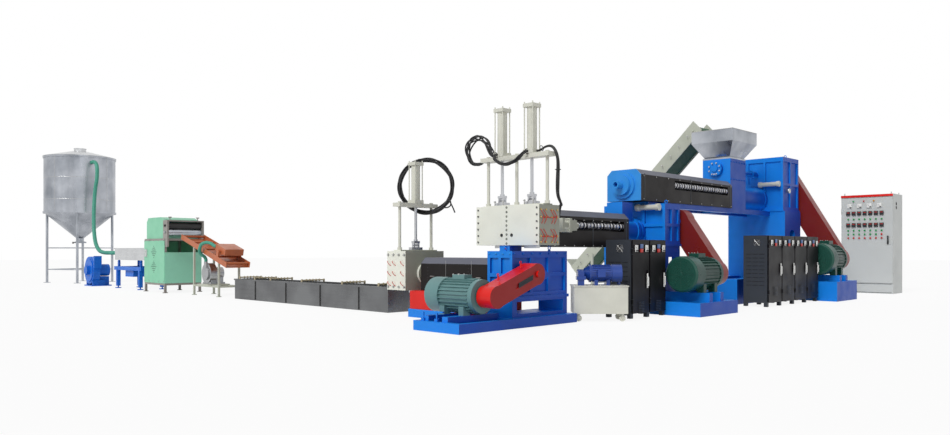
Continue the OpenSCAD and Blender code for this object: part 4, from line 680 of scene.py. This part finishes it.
# black oil hoses tied to the gantries, as loose strands instead of plain tubes
oilHoses = {
    "coilCentre": (-2.1092, 0.2242, 2.053), "coilRadius": 0.43, "strands": 8, "thickness": 0.0115,
    "left": [(-0.3703, 0.075, 2.386), (-0.43, 0.075, 2.386), (-0.465, 0.08, 2.394), (-0.52, 0.1, 2.45), (-0.605, 0.112, 2.59), (-0.72, 0.08, 2.69),
             (-0.85, 0.02, 2.65), (-0.91, -0.02, 2.5), (-0.87, -0.01, 2.34), (-0.77, 0.04, 2.26), (-0.675, 0.075, 2.3)],
    "front": [(-0.3, -0.0153, 2.378), (-0.3, -0.045, 2.378), (-0.29, -0.085, 2.355), (-0.255, -0.112, 2.3),
              (-0.17, -0.12, 2.24), (-0.02, -0.115, 2.205), (0.13, -0.118, 2.24), (0.225, -0.112, 2.3),
              (0.268, -0.085, 2.355), (0.28, -0.045, 2.378), (0.28, -0.0153, 2.378)],
    "side": [(0.3703, 0.075, 2.378), (0.42, 0.075, 2.378), (0.52, 0.09, 2.43), (0.62, 0.1, 2.43), (0.69, 0.105, 2.34),
             (0.715, 0.11, 2.2), (0.705, 0.11, 1.95), (0.69, 0.13, 1.76), (0.67, 0.2, 1.67), (0.6, 0.32, 1.645),
             (0.5, 0.43, 1.64), (0.41, 0.52, 1.6), (0.374, 0.558, 1.54), (0.37, 0.565, 1.472)],
}


def coilStrand(k, count):
    centre = Vector(oilHoses["coilCentre"])
    across = Vector((1, 1, 0)).normalized()
    outward = Vector((1, -1, 0)).normalized()
    route = []
    for i in range(count):
        t = 2 * math.pi * i / (count - 1) * 1.04 + 0.4 * k
        r = oilHoses["coilRadius"] + 0.022 * math.sin(2.3 * k + 2 * t) - 0.012 * math.cos(k + 3 * t)
        drift = 0.028 * math.sin(1.7 * k + t) + 0.01 * math.cos(5 * t + k)
        route.append(centre + across * (r * math.cos(t)) + Vector((0, 0, r * math.sin(t))) + outward * drift)
    return route


def fannedStrand(points, k, spread):
    route = []
    for i, place in enumerate(points):
        open_ = math.sin(math.pi * i / (len(points) - 1))
        shift = Vector((math.sin(2.1 * k + 0.7 * i), math.sin(1.3 * k + 2 + 0.5 * i), math.cos(1.9 * k + 0.8 * i)))
        route.append(Vector(place) + shift * spread * (0.25 + open_))
    return route


oilRoutes = [coilStrand(k, 26) for k in range(oilHoses["strands"])]
oilRoutes += [fannedStrand(oilHoses["left"], k, 0.030) for k in range(6)]
oilRoutes += [fannedStrand(oilHoses["front"], k, 0.012) for k in range(4)]
oilRoutes += [fannedStrand(oilHoses["side"], k, 0.010) for k in range(3)]
coilEnds = [[(-1.83, 0.47, 1.86), (-1.78, 0.5, 1.76), (-1.84, 0.44, 1.69), (-1.9, 0.4, 1.71)],
            [(-1.82, 0.46, 1.83), (-1.75, 0.48, 1.72), (-1.72, 0.5, 1.62)],
            [(-2.3, 0.0, 2.4), (-2.2, 0.03, 2.44), (-2.12, 0.04, 2.38), (-2.1, 0.05, 2.28)]]
looseHoses = strandSet("oilHoseStrands", oilRoutes + coilEnds, oilHoses["thickness"], "blackHose")
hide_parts("hydraulic_hoses")
tieParts = []
for spot, way in (((-0.3, -0.03, 2.372), (1, 0, 0.2)), ((0.28, -0.03, 2.372), (1, 0, 0.2)),
                  ((-0.44, 0.08, 2.4), (1, 0, 0.3)), ((0.45, 0.082, 2.41), (1, 0, 0.3)), ((0.71, 0.11, 2.1), (0, 0, 1))):
    tieParts.append(ring(spot, way, 0.036, 0.005, 20, 8))
finishPiece(joinParts(tieParts), "hoseTies", "blackPlastic")
print("oil hoses laid")

# stage 2 changer: socket screws, bores, red heater wires
changerTwo = {"front": -0.14, "rowLow": 1.125, "rowHigh": 1.585, "edge": 0.552, "screw": 0.013}
seed = socketScrew((-changerTwo["edge"], changerTwo["front"], changerTwo["rowLow"]), (0, -1, 0), changerTwo["screw"], 0.010)
sideRows = spacedValues(changerTwo["rowLow"], changerTwo["rowHigh"], 6)
moves = [(dx, 0, z - sideRows[0]) for dx in (0, 2 * changerTwo["edge"]) for z in sideRows][1:]
finishPiece(copyTo(seed, moves), "changerTwoScrews", "darkSteel")
middleRows = spacedValues(1.105, 1.605, 9)
seed = joinParts([ring((0, changerTwo["front"] - 0.001, middleRows[0]), (0, 1, 0), 0.014, 0.004, 18, 8),
                  rod((0, changerTwo["front"] - 0.004, middleRows[0]), (0, changerTwo["front"] + 0.002, middleRows[0]), 0.009, 12)])
finishPiece(copyTo(seed, [(0, 0, z - middleRows[0]) for z in middleRows[1:]]), "changerTwoPlugs", "creamDark")
# black rings and discs in the bores: painted shade
boreRings = [ring((x, changerTwo["front"] - 0.002, 1.22), (0, 1, 0), 0.022, 0.003, 24, 8) for x in (-0.095, 0.095)]
boreBacks = [rod((x, changerTwo["front"] + 0.012, 1.22), (x, changerTwo["front"] + 0.018, 1.22), 0.0195, 24) for x in (-0.095, 0.095)]
finishPiece(joinParts(boreRings + boreBacks), "changerTwoBores", "blackPlastic")
wires = []
for z in (1.46, 1.20):
    for y0, y1 in ((-0.10, 0.06), (0.04, 0.22)):
        wires.append([(0.592, y0, z), (0.612, (y0 + y1) / 2, z - 0.02), (0.592, y1, z + 0.01)])
    for y in (-0.11, -0.05, 0.10, 0.16):
        wires.append([(0.592, y, z + 0.10), (0.615, y + 0.02, z + 0.05), (0.606, y + 0.06, z + 0.0), (0.592, y + 0.09, z - 0.01)])
        wires.append([(0.592, y + 0.02, z - 0.09), (0.612, y + 0.03, z - 0.05), (0.606, y + 0.05, z), (0.592, y + 0.08, z + 0.02)])
wires.append([(-0.1, -0.02, 1.08), (-0.06, -0.1, 1.05), (0.0, -0.16, 1.02), (0.03, -0.2, 0.985)])
wires.append([(-0.2, -0.02, 1.08), (-0.2, -0.06, 1.04), (-0.17, -0.1, 0.99)])
strandSet("changerTwoHeaterWires", wires, 0.0045, "redWire")
heads = [rod((0.592, y, z), (0.604, y, z), 0.014, 12, 0.003) for z in (1.56, 1.46, 1.20, 1.12) for y in (-0.11, 0.0, 0.12, 0.24)]
finishPiece(joinParts(heads), "changerTwoHeaterHeads", "brassFitting")
# sensor tips beside the slides on the top plate
tips = []
for x in (-0.28, 0.28):
    for dx in (-0.075, 0.085):
        tips.append(rod((x + dx, 0.0, 1.648), (x + dx, 0.0, 1.72), 0.008, 12, 0.002))
        tips.append(block((x + dx - 0.012, -0.014, 1.695), (x + dx + 0.012, 0.014, 1.712), 0.002))
finishPiece(joinParts(tips), "changerTwoStops", "machinedSteel")

# stage 3 changer: side screws and wires
wires = []
for z in (0.52, 0.68, 0.84):
    for x in (-2.32, -2.2, -2.0):
        wires.append([(x, -0.402, z), (x + 0.03, -0.43, z - 0.02), (x + 0.07, -0.425, z - 0.05), (x + 0.08, -0.402, z - 0.07)])
strandSet("changerThreeHeaterWires", wires, 0.0045, "redWire")
seed = hexScrew((-2.30, -0.402, 0.44), (0, -1, 0), 0.017, 0.018)
moves = [(dx, 0, dz) for dx in (0, 0.13, 0.26, 0.39) for dz in (0, 0.50)][1:]
finishPiece(copyTo(seed, moves), "changerThreeScrews", "machinedSteel")
print("changers dressed")

# stage 3 cover: rows of cooling holes as black discs of painted shade, small plate edges
coverThree = {"front": -0.275, "left": -1.50, "right": -0.62, "rowTop": 0.80}
seed = rod((coverThree["left"], coverThree["front"] - 0.002, coverThree["rowTop"]),
           (coverThree["left"], coverThree["front"] + 0.004, coverThree["rowTop"]), 0.009, 10)
moves = [(dx, 0, 0) for dx in spacedValues(0.05, coverThree["right"] - coverThree["left"], 17)]
moves += [(0, 0, -dz) for dz in (0.05, 0.1, 0.15, 0.2)]
moves += [(0.88, 0, -dz) for dz in (0.05, 0.1, 0.15)]
moves += [(0.05 * i, 0, -0.24) for i in range(5)] + [(0.05 * i, 0, -0.30) for i in range(4)]
finishPiece(copyTo(seed, moves), "coverThreeHoles", "blackPlastic")
seams = [block((-1.10, -0.2775, 0.42), (-1.096, -0.274, 0.86), 0.001), block((-0.56, -0.2775, 0.42), (-0.556, -0.274, 0.86), 0.001)]
handles = []
for x in (-1.38, -0.83, -0.4):
    handles += [rod((x - 0.04, -0.275, 0.62), (x - 0.04, -0.295, 0.62), 0.005, 10),
                rod((x + 0.04, -0.275, 0.62), (x + 0.04, -0.295, 0.62), 0.005, 10),
                rod((x - 0.045, -0.295, 0.62), (x + 0.045, -0.295, 0.62), 0.005, 10)]
finishPiece(joinParts(seams + handles), "coverThreeHandles", "machinedSteel")

# covers of stages 2 and 1: joint strips and screws along the +X side
longCovers = [{"name": "coverTwo", "side": 0.290, "start": 0.56, "end": 2.40, "low": 1.08},
              {"name": "coverOne", "side": 0.325, "start": 2.83, "end": 5.90, "low": 1.86}]
for cover in longCovers:
    x = cover["side"]
    seed = socketScrew((x, cover["start"], cover["low"]), (1, 0, 0), 0.009, 0.006)
    gaps = spacedValues(0, cover["end"] - cover["start"], 9)
    finishPiece(copyTo(seed, [(0, dy, dz) for dy in gaps for dz in (0, 0.38)][1:]), cover["name"] + "Screws", "machinedSteel")
    strips = [block((x - 0.003, y, cover["low"] - 0.01), (x + 0.003, y + 0.018, cover["low"] + 0.42), 0.001)
              for y in spacedValues(cover["start"] + 0.02, cover["end"] - 0.04, 3)]
    finishPiece(joinParts(strips), cover["name"] + "Strips", "slatePaint")
print("covers dressed")


# fan cowl of a motor: rings and spokes on its end, seen from -Y
def fanGrille(name, x, y, z, radius, finish):
    parts = [ring((x, y, z), (0, 1, 0), radius * f, 0.004, 40, 6) for f in (0.22, 0.36, 0.5, 0.64, 0.78)]
    for k in range(12):
        t = math.pi * k / 6
        parts.append(rod((x + radius * 0.12 * math.cos(t), y, z + radius * 0.12 * math.sin(t)),
                         (x + radius * 0.8 * math.cos(t), y, z + radius * 0.8 * math.sin(t)), 0.004, 6))
    parts.append(rod((x, y + 0.004, z), (x, y - 0.006, z), radius * 0.12, 24, 0.002))
    return finishPiece(joinParts(parts), name, finish)


fanGrille("motorTwoGrille", 1.12, 2.618, 0.64, 0.28, "motorGreen")
fanGrille("motorOneGrille", 1.28, 7.678, 0.84, 0.32, "motorGreen")
motors = [{"name": "motorThree", "at": (0.06, -1.12, 0.43), "r": 0.23, "lie": "x"},
          {"name": "motorTwo", "at": (1.12, 3.0, 0.64), "r": 0.28, "lie": "y"},
          {"name": "motorOne", "at": (1.28, 8.03, 0.84), "r": 0.32, "lie": "y"}]
for motor in motors:
    x, y, z = motor["at"]
    r = motor["r"]
    lid = []
    for s in (-1, 1):
        for t in (-1, 1):
            lid.append(hexScrew((x + s * 0.05, y + t * 0.05, z + 1.16 * r), (0, 0, 1), 0.009, 0.010))
    finishPiece(joinParts(lid), motor["name"] + "LidScrews", "machinedSteel")
print("motors dressed")

# stage 3 guard: vent with slats on its face over a black plate of painted shade, lifting hooks on its back edge
guardThree = {"face": 0.760, "middle": (-0.60, 0.612), "tilt": 19.6, "length": 0.32, "height": 0.062, "slats": 13}


def alongGuard(along, up):
    t = math.radians(guardThree["tilt"])
    y, z = guardThree["middle"]
    return (y + along * math.cos(t) - up * math.sin(t), z + along * math.sin(t) + up * math.cos(t))


ventCorners = [(-0.5, -0.5), (0.42, -0.5), (0.5, 0.5), (-0.42, 0.5)]
dropSelection()
bpy.ops.mesh.primitive_plane_add(size=1)
vent = bpy.context.object
for vertex, spot in zip(vent.data.vertices, (ventCorners[0], ventCorners[1], ventCorners[3], ventCorners[2])):
    y, z = alongGuard(spot[0] * guardThree["length"], spot[1] * guardThree["height"])
    vertex.co = (guardThree["face"] - 0.001, y, z)
bpy.ops.object.mode_set(mode="EDIT")
bpy.ops.mesh.select_all(action="SELECT")
bpy.ops.mesh.extrude_region_move(TRANSFORM_OT_translate={"value": (0.004, 0, 0)})
bpy.ops.mesh.select_all(action="SELECT")
bpy.ops.mesh.normals_make_consistent(inside=False)
bpy.ops.object.mode_set(mode="OBJECT")
finishPiece(vent, "guardThreeVent", "blackPlastic", smooth=False)
slats = []
for k in range(guardThree["slats"]):
    along = (k / (guardThree["slats"] - 1) - 0.5) * guardThree["length"] * 0.84
    a = alongGuard(along - 0.006, -0.024)
    b = alongGuard(along + 0.006, 0.024)
    slats.append(rod((guardThree["face"] + 0.004, a[0], a[1]), (guardThree["face"] + 0.004, b[0], b[1]), 0.005, 6))
finishPiece(joinParts(slats), "guardThreeSlats", "slatePaint")
hooks = []
for along in (-0.35, 0.10):
    y, z = alongGuard(along, 0.155)
    hooks.append(rod((0.64, y, z - 0.01), (0.64, y - 0.01, z + 0.05), 0.012, 10))
    hooks.append(ring((0.64, y - 0.012, z + 0.06), (1, 0, 0), 0.016, 0.006, 18, 8))
finishPiece(joinParts(hooks), "guardThreeHooks", "signalRed")

# gearbox 3: bolts along its +X side and its -Y end
gearBolts = []
# bolts on the +X side in the darker blue, a painted shade; bolts on the -Y end in the lit blue
seed = hexScrew((0.50, -0.54, 0.395), (1, 0, 0), 0.013, 0.014)
moves = [(0, y + 0.54, z - 0.395) for z in (0.395, 0.965) for y in spacedValues(-0.54, 0.54, 7)][1:]
finishPiece(copyTo(seed, moves), "gearboxThreeBolts", "paintedShadeBlue")
seed = hexScrew((0.09, -0.575, 0.395), (0, -1, 0), 0.013, 0.014)
moves = [(x - 0.09, 0, z - 0.395) for z in (0.395, 0.965) for x in spacedValues(0.09, 0.46, 4)][1:]
finishPiece(copyTo(seed, moves), "gearboxThreeEndBolts", "lightBlue")


# round oil gauge on a gearbox side
def oilGauge(name, x, y, z, r):
    parts = [rod((x - 0.004, y, z), (x + 0.018, y, z), r, 32, 0.004), ring((x + 0.018, y, z), (1, 0, 0), r * 0.9, 0.006, 32, 8)]
    return finishPiece(joinParts(parts), name, "machinedSteel")


oilGauge("gearboxOneGauge", 0.595, 7.95, 2.26, 0.055)
oilGauge("gearboxTwoGauge", 0.535, 3.12, 1.50, 0.045)
gaugeFace = [rod((0.612, 7.95, 2.26), (0.617, 7.95, 2.26), 0.042, 28), rod((0.552, 3.12, 1.50), (0.557, 3.12, 1.50), 0.034, 28)]
finishPiece(joinParts(gaugeFace), "gaugeGlasses", "whitePlastic")
seed = hexScrew((0.0, 5.853, 2.50), (0, -1, 0), 0.012, 0.012)
moves = [(0.115 * math.cos(math.pi * k / 4 + 0.4), 0, 0.11 + 0.115 * math.sin(math.pi * k / 4 + 0.4)) for k in range(8)]
boltRing = copyTo(seed, moves)
finishPiece(boltRing, "feedCoverBolts", "machinedSteel")
# feed box bolts on the +X side in the darker blue: painted shade
seed = hexScrew((0.29, 5.99, 2.40), (1, 0, 0), 0.014, 0.014)
moves = [(0, dy, dz) for dy in spacedValues(0, 0.56, 6) for dz in (0, 0.34)][1:]
finishPiece(copyTo(seed, moves), "feedBoxBolts", "paintedShadeBlue")
print("guards and gearboxes dressed")


# a heater cabinet door: two meters, a display, a counter, a white handle, a row of slots
def dressHeaterDoor(body, face, yLow, yHigh, top):
    width = yHigh - yLow
    middle = (yLow + yHigh) / 2
    meters = []
    for y in (yLow + 0.20 * width, yLow + 0.80 * width):
        meters.append(block((face - 0.002, y - 0.036, top - 0.175), (face + 0.010, y + 0.036, top - 0.075), 0.004))
    finishPiece(joinParts(meters), body + "Meters", "whitePlastic", body)
    needles = []
    for y in (yLow + 0.20 * width, yLow + 0.80 * width):
        needles.append(rod((face + 0.0105, y + 0.01, top - 0.165), (face + 0.0105, y - 0.018, top - 0.105), 0.0022, 6))
        needles.append(block((face + 0.008, y - 0.030, top - 0.170), (face + 0.0115, y + 0.030, top - 0.150), 0.001))
    finishPiece(joinParts(needles), body + "Needles", "blackPlastic", body)
    finishPiece(block((face - 0.002, middle - 0.036, top - 0.125), (face + 0.010, middle + 0.036, top - 0.060), 0.003),
                body + "Display", "blueDisplay", body)
    finishPiece(block((face - 0.002, middle - 0.036, top - 0.185), (face + 0.009, middle + 0.036, top - 0.130), 0.003),
                body + "Counter", "redLamp", body)
    parts = [block((face - 0.002, yHigh - 0.085, top - 0.72), (face + 0.006, yHigh - 0.055, top - 0.50), 0.002),
             rod((face + 0.018, yHigh - 0.07, top - 0.69), (face + 0.018, yHigh - 0.07, top - 0.55), 0.008, 12, 0.002)]
    for z in (top - 0.68, top - 0.56):
        parts.append(rod((face, yHigh - 0.07, z), (face + 0.018, yHigh - 0.07, z), 0.005, 10))
    finishPiece(joinParts(parts), body + "Handle", "whitePlastic", body)
    seed = block((face - 0.001, middle - 0.07, top - 0.93), (face + 0.003, middle + 0.07, top - 0.922), 0.001)
    finishPiece(copyTo(seed, [(0, 0, -0.024 * i) for i in range(1, 7)]), body + "Slots", "slatePaint", body)


def dressHeaterSide(name, xLow, xHigh, y, top):
    # near-black louvre strips on the slate side: painted shade in the slots
    seed = block((xLow + 0.05, y - 0.004, top - 0.90), (xLow + 0.15, y + 0.002, top - 0.894), 0.001)
    width = (xHigh - xLow - 0.1) / 3
    moves = [(width * i, 0, 0.07 * k) for i in range(3) for k in range(9)][1:]
    finishPiece(copyTo(seed, moves), name + "Louvres", "nightPaint")
    x = xLow + (xHigh - xLow) * 0.55
    z = top - 0.13
    parts = [ring((x, y - 0.004, z), (0, 1, 0), 0.055 * f, 0.003, 28, 6) for f in (0.35, 0.65, 1.0)]
    for s in (-1, 1):
        parts.append(rod((x - 0.05, y - 0.006, z - s * 0.05), (x + 0.05, y - 0.006, z + s * 0.05), 0.004, 8))
    finishPiece(joinParts(parts), name + "FanGuard", "machinedSteel")
    # black disc behind the fan guard: painted shade of the opening
    finishPiece(rod((x, y - 0.002, z), (x, y + 0.003, z), 0.05, 28, 0.001), name + "FanHole", "blackPlastic")


smallDoors = {"face": 0.917, "edges": [(1.603, 2.067), (2.078, 2.542)], "top": 1.164}
largeDoors = {"face": 1.337, "edges": [(5.303, 5.872), (5.883, 6.452), (6.463, 7.032), (7.043, 7.612)], "top": 1.274}
for i, (yLow, yHigh) in enumerate(smallDoors["edges"]):
    dressHeaterDoor("door_small_%d" % (i + 1), smallDoors["face"], yLow, yHigh, smallDoors["top"])
for i, (yLow, yHigh) in enumerate(largeDoors["edges"]):
    dressHeaterDoor("door_large_%d" % (i + 1), largeDoors["face"], yLow, yHigh, largeDoors["top"])
dressHeaterSide("smallHeater", 0.44, 0.90, 1.60, 1.17)
dressHeaterSide("largeHeater", 0.86, 1.32, 5.30, 1.28)
print("heater cabinets dressed")

# control cabinet: lamps, four meters, two rows of controllers, rows of knobs, red rail
panel = {"face": 11.362, "left": 0.62, "right": 1.36, "lampZ": 2.19, "meterZ": 2.08, "controllerRows": (1.90, 1.62),
         "paintedGlowKnobRows": ((1.76, "greenLamp"), (1.49, "greenLamp"), (1.40, "greenLamp"), (1.31, "redLamp"))}
face = panel["face"]
for x, lamp in ((0.75, "greenLamp"), (0.98, "redLamp"), (1.20, "amberLamp")):
    bulb = rod((x, face + 0.004, panel["lampZ"]), (x, face - 0.020, panel["lampZ"]), 0.018, 20, 0.005)
    finishPiece(bulb, "panelLamp" + lamp[:-4].capitalize(), lamp, "door_control")
meters = []
scales = []
for x in spacedValues(0.66, 1.32, 4):
    z = panel["meterZ"]
    meters.append(block((x - 0.052, face - 0.012, z - 0.052), (x + 0.052, face + 0.003, z + 0.052), 0.004))
    scales.append(block((x + 0.006, face - 0.014, z - 0.046), (x + 0.046, face - 0.009, z - 0.022), 0.001))
    scales.append(rod((x, face - 0.0135, z - 0.012), (x - 0.028, face - 0.0135, z + 0.030), 0.002, 6))
finishPiece(joinParts(meters), "panelMeters", "whitePlastic", "door_control")
finishPiece(joinParts(scales), "panelMeterScales", "blackPlastic", "door_control")
columns = spacedValues(panel["left"] + 0.01, panel["right"] + 0.01, 7)
cases = []
digits = []
for z in panel["controllerRows"]:
    for x in columns:
        cases.append(block((x - 0.045, face - 0.010, z - 0.048), (x + 0.045, face + 0.003, z + 0.048), 0.003))
        digits.append(block((x - 0.026, face - 0.0125, z + 0.012), (x + 0.026, face - 0.009, z + 0.028), 0.001))
finishPiece(joinParts(cases), "panelControllers", "blackPlastic", "door_control")
finishPiece(joinParts(digits), "panelControllerDigits", "redLamp", "door_control")
# the switch knobs take the glowing lamp finishes: a painted glow on parts that are no lamps
for row, (z, lamp) in enumerate(panel["paintedGlowKnobRows"]):
    knobs = []
    last = None
    for x in columns:
        collar = ring((x, face - 0.001, z), (0, 1, 0), 0.018, 0.004, 18, 6)
        grip = block((x - 0.006, face - 0.022, z - 0.016), (x + 0.006, face + 0.002, z + 0.016), 0.003)
        disc = rod((x, face + 0.002, z), (x, face - 0.010, z), 0.016, 16, 0.002)
        if row == 2 and x == columns[-1]:
            last = [collar, disc, grip]
        else:
            knobs += [collar, disc, grip]
    finishPiece(joinParts(knobs), "panelKnobs%d" % (row + 1), lamp, "door_control")
    if last:
        finishPiece(joinParts(last), "panelStopKnob", "redKnob", "door_control")
handleParts = [block((1.485, face - 0.006, 1.16), (1.520, face + 0.003, 1.36), 0.003),
               block((1.494, face - 0.020, 1.18), (1.511, face - 0.004, 1.30), 0.004)]
finishPiece(joinParts(handleParts), "panelHandle", "blackPlastic", "door_control")
finishPiece(block((0.461, 11.366, 2.284), (1.609, 11.379, 2.338), 0.002), "cabinetRedRail", "signalRed")
kick = [block((0.49, 11.372, 0.225), (1.58, 11.3795, 0.231), 0.001), block((0.49, 11.372, 0.02), (1.58, 11.3795, 0.026), 0.001)]
finishPiece(joinParts(kick), "cabinetKickLines", "slatePaint")
vents = []
for z in (2.02, 2.11):
    vents += [ring((1.6105, 11.62, z), (1, 0, 0), 0.035 * f, 0.0035, 20, 6) for f in (0.4, 0.75, 1.05)]
vents = [v for v in vents]
finishPiece(joinParts(vents), "cabinetSideFans", "blackPlastic")
print("control cabinet dressed")

# silo: weld bands, seam strips, bolts round the roof rim
silo = {"centre": (-18.98, 0.25), "radius": 1.025, "bands": (2.62, 3.30), "seams": (-150, -60, 30, 120)}
sx, sy = silo["centre"]
bands = [ring((sx, sy, z), (0, 0, 1), silo["radius"] + 0.001, 0.005, 96, 8) for z in silo["bands"]]
for angle in silo["seams"]:
    t = math.radians(angle)
    x = sx + math.cos(t) * silo["radius"]
    y = sy + math.sin(t) * silo["radius"]
    bands.append(rod((x, y, 2.25), (x, y, 3.93), 0.0045, 8))
finishPiece(joinParts(bands), "siloSeams", "machinedSteel")
finishPiece(copyTo(hexScrew((sx + 1.035, sy, 3.93), (0, 0, 1), 0.012, 0.02),
                   [(1.035 * (math.cos(math.pi * k / 12) - 1), 1.035 * math.sin(math.pi * k / 12), 0) for k in range(1, 24)]),
            "siloRimBolts", "machinedSteel")

# hopper: folded rim
rim = {"x": 0.431, "y0": 5.756, "y1": 6.794, "z": 3.352}
lines = [rod((-rim["x"], rim["y0"], rim["z"]), (rim["x"], rim["y0"], rim["z"]), 0.006, 10),
         rod((rim["x"], rim["y0"], rim["z"]), (rim["x"], rim["y1"], rim["z"]), 0.006, 10),
         rod((-rim["x"], rim["y1"], rim["z"]), (rim["x"], rim["y1"], rim["z"]), 0.006, 10),
         rod((-rim["x"], rim["y0"], rim["z"]), (-rim["x"], rim["y1"], rim["z"]), 0.006, 10)]
finishPiece(joinParts(lines), "hopperRim", "machinedSteel")
print("silo and hopper dressed")

# cutter: dotted vents on its mint side as black dots of painted shade, knobs on the frame, small switch box
cutter = {"side": -0.458, "vents": ((-11.35, 0.62), (-11.35, 0.98))}
seed = rod((cutter["vents"][0][0], cutter["side"] - 0.002, cutter["vents"][0][1]),
           (cutter["vents"][0][0], cutter["side"] + 0.004, cutter["vents"][0][1]), 0.012, 10)
moves = []
for vx, vz in cutter["vents"]:
    for i in range(-3, 4):
        for k in range(-3, 4):
            if abs(i) + abs(k) <= 3:
                moves.append((vx - cutter["vents"][0][0] + 0.045 * i, 0, vz - cutter["vents"][0][1] + 0.045 * k))
finishPiece(copyTo(seed, [m for m in moves if m != (0.0, 0, 0.0)]), "cutterVents", "blackPlastic")
box = joinParts([block((-11.86, -0.485, 0.86), (-11.74, -0.455, 1.04), 0.006),
                 rod((-11.80, -0.485, 0.99), (-11.80, -0.50, 0.99), 0.016, 16, 0.003)])
finishPiece(box, "cutterSwitchBox", "paleGrey")
seed = hexScrew((-11.90, -0.459, 0.27), (0, -1, 0), 0.011, 0.010)
moves = [(dx, 0, dz) for dx in spacedValues(0, 1.13, 5) for dz in (0, 0.98)][1:]
finishPiece(copyTo(seed, moves), "cutterCoverScrews", "machinedSteel")

# water in the tank, with a slow ripple
dropSelection()
bpy.ops.mesh.primitive_grid_add(x_subdivisions=90, y_subdivisions=8, size=1, location=(-5.075, 0, 0.372))
water = bpy.context.object
water.scale = (5.12, 0.474, 1)
settle(water)
ripple = water.modifiers.new("ripple", "WAVE")
ripple.height = 0.0012
ripple.width = 0.35
ripple.narrowness = 3
ripple.time_offset = -40
bpy.context.view_layer.objects.active = water
bpy.ops.object.modifier_apply(modifier="ripple")
finishPiece(water, "tankWater", "waterFilm")
seams = [block((x, -0.2655, 0.01), (x + 0.012, -0.2495, 0.39), 0.001) for x in spacedValues(-6.8, -3.3, 4)]
finishPiece(joinParts(seams), "tankSeams", "darkSteel")

# conveyor: bolts along its near side plate
conveyor = {"tail": (-3.40, 0.74), "head": (-0.70, 3.34), "side": 6.064}
run = (conveyor["head"][0] - conveyor["tail"][0], conveyor["head"][1] - conveyor["tail"][1])
seed = hexScrew((conveyor["tail"][0], conveyor["side"], conveyor["tail"][1]), (0, -1, 0), 0.014, 0.014)
finishPiece(copyTo(seed, [(run[0] * i / 14, 0, run[1] * i / 14) for i in range(1, 15)]), "conveyorBolts", "machinedSteel")
print("cutter, tank and conveyor dressed")

# floor and light
studio = {"floorSize": 160.0, "floorColour": (0.92, 0.92, 0.92), "keyPower": 1.75, "fillPower": 0.3, "worldPower": 0.36}
dropSelection()
bpy.ops.mesh.primitive_plane_add(size=studio["floorSize"], location=(-9, 5, -0.003))
floor = bpy.context.object
floor.name = "studioFloor"
floorMaterial, floorTree, floorShader = startMaterial("floorPaint")
floorShader.inputs["Roughness"].default_value = 0.9
cloud = addNoise(floorTree, objectPlace(floorTree), 0.4, 2)
floorTree.links.new(addMix(floorTree, cloud, rgba(studio["floorColour"]), (0.95, 0.95, 0.95, 1)),
                    floorShader.inputs["Base Color"])
white = floorTree.nodes.new("ShaderNodeEmission")
white.inputs["Color"].default_value = (1, 1, 1, 1)
whiteMix = floorTree.nodes.new("ShaderNodeMixShader")
cameraRay = floorTree.nodes.new("ShaderNodeLightPath")
seenRays = addMath(floorTree, "MAXIMUM", addMath(floorTree, "MAXIMUM", cameraRay.outputs["Is Camera Ray"],
                   cameraRay.outputs["Is Glossy Ray"]), cameraRay.outputs["Is Transmission Ray"])
floorTree.links.new(addMath(floorTree, "MULTIPLY", seenRays, 0.88), whiteMix.inputs["Fac"])
floorTree.links.new(floorShader.outputs["BSDF"], whiteMix.inputs[1])
floorTree.links.new(white.outputs["Emission"], whiteMix.inputs[2])
floorTree.links.new(whiteMix.outputs["Shader"], floorTree.nodes["Material Output"].inputs["Surface"])
floor.data.materials.append(floorMaterial)

world = bpy.data.worlds.new("studioWorld")
bpy.context.scene.world = world
world.use_nodes = True
worldTree = world.node_tree
soft = worldTree.nodes["Background"]
soft.inputs["Color"].default_value = (1, 1, 1, 1)
soft.inputs["Strength"].default_value = studio["worldPower"]
backdrop = worldTree.nodes.new("ShaderNodeBackground")
backdrop.inputs["Color"].default_value = (1, 1, 1, 1)
backdrop.inputs["Strength"].default_value = 1.0
worldMix = worldTree.nodes.new("ShaderNodeMixShader")
rays = worldTree.nodes.new("ShaderNodeLightPath")
seen = addMath(worldTree, "MAXIMUM", addMath(worldTree, "MAXIMUM", rays.outputs["Is Camera Ray"],
               rays.outputs["Is Glossy Ray"]), rays.outputs["Is Transmission Ray"])
worldTree.links.new(seen, worldMix.inputs["Fac"])
worldTree.links.new(soft.outputs["Background"], worldMix.inputs[1])
worldTree.links.new(backdrop.outputs["Background"], worldMix.inputs[2])
worldTree.links.new(worldMix.outputs["Shader"], worldTree.nodes["World Output"].inputs["Surface"])


def sunLamp(name, power, direction, width):
    data = bpy.data.lights.new(name, "SUN")
    data.energy = power
    data.angle = math.radians(width)
    lamp = bpy.data.objects.new(name, data)
    lamp.rotation_euler = Vector(direction).to_track_quat("-Z", "Y").to_euler()
    bpy.context.scene.collection.objects.link(lamp)
    return lamp


sunLamp("keySun", studio["keyPower"], (-0.15, 1.0, -0.85), 25)
sunLamp("fillSun", studio["fillPower"], (-1.0, 0.3, -0.5), 40)
bpy.context.scene.view_settings.view_transform = "Standard"
print("studio lit")
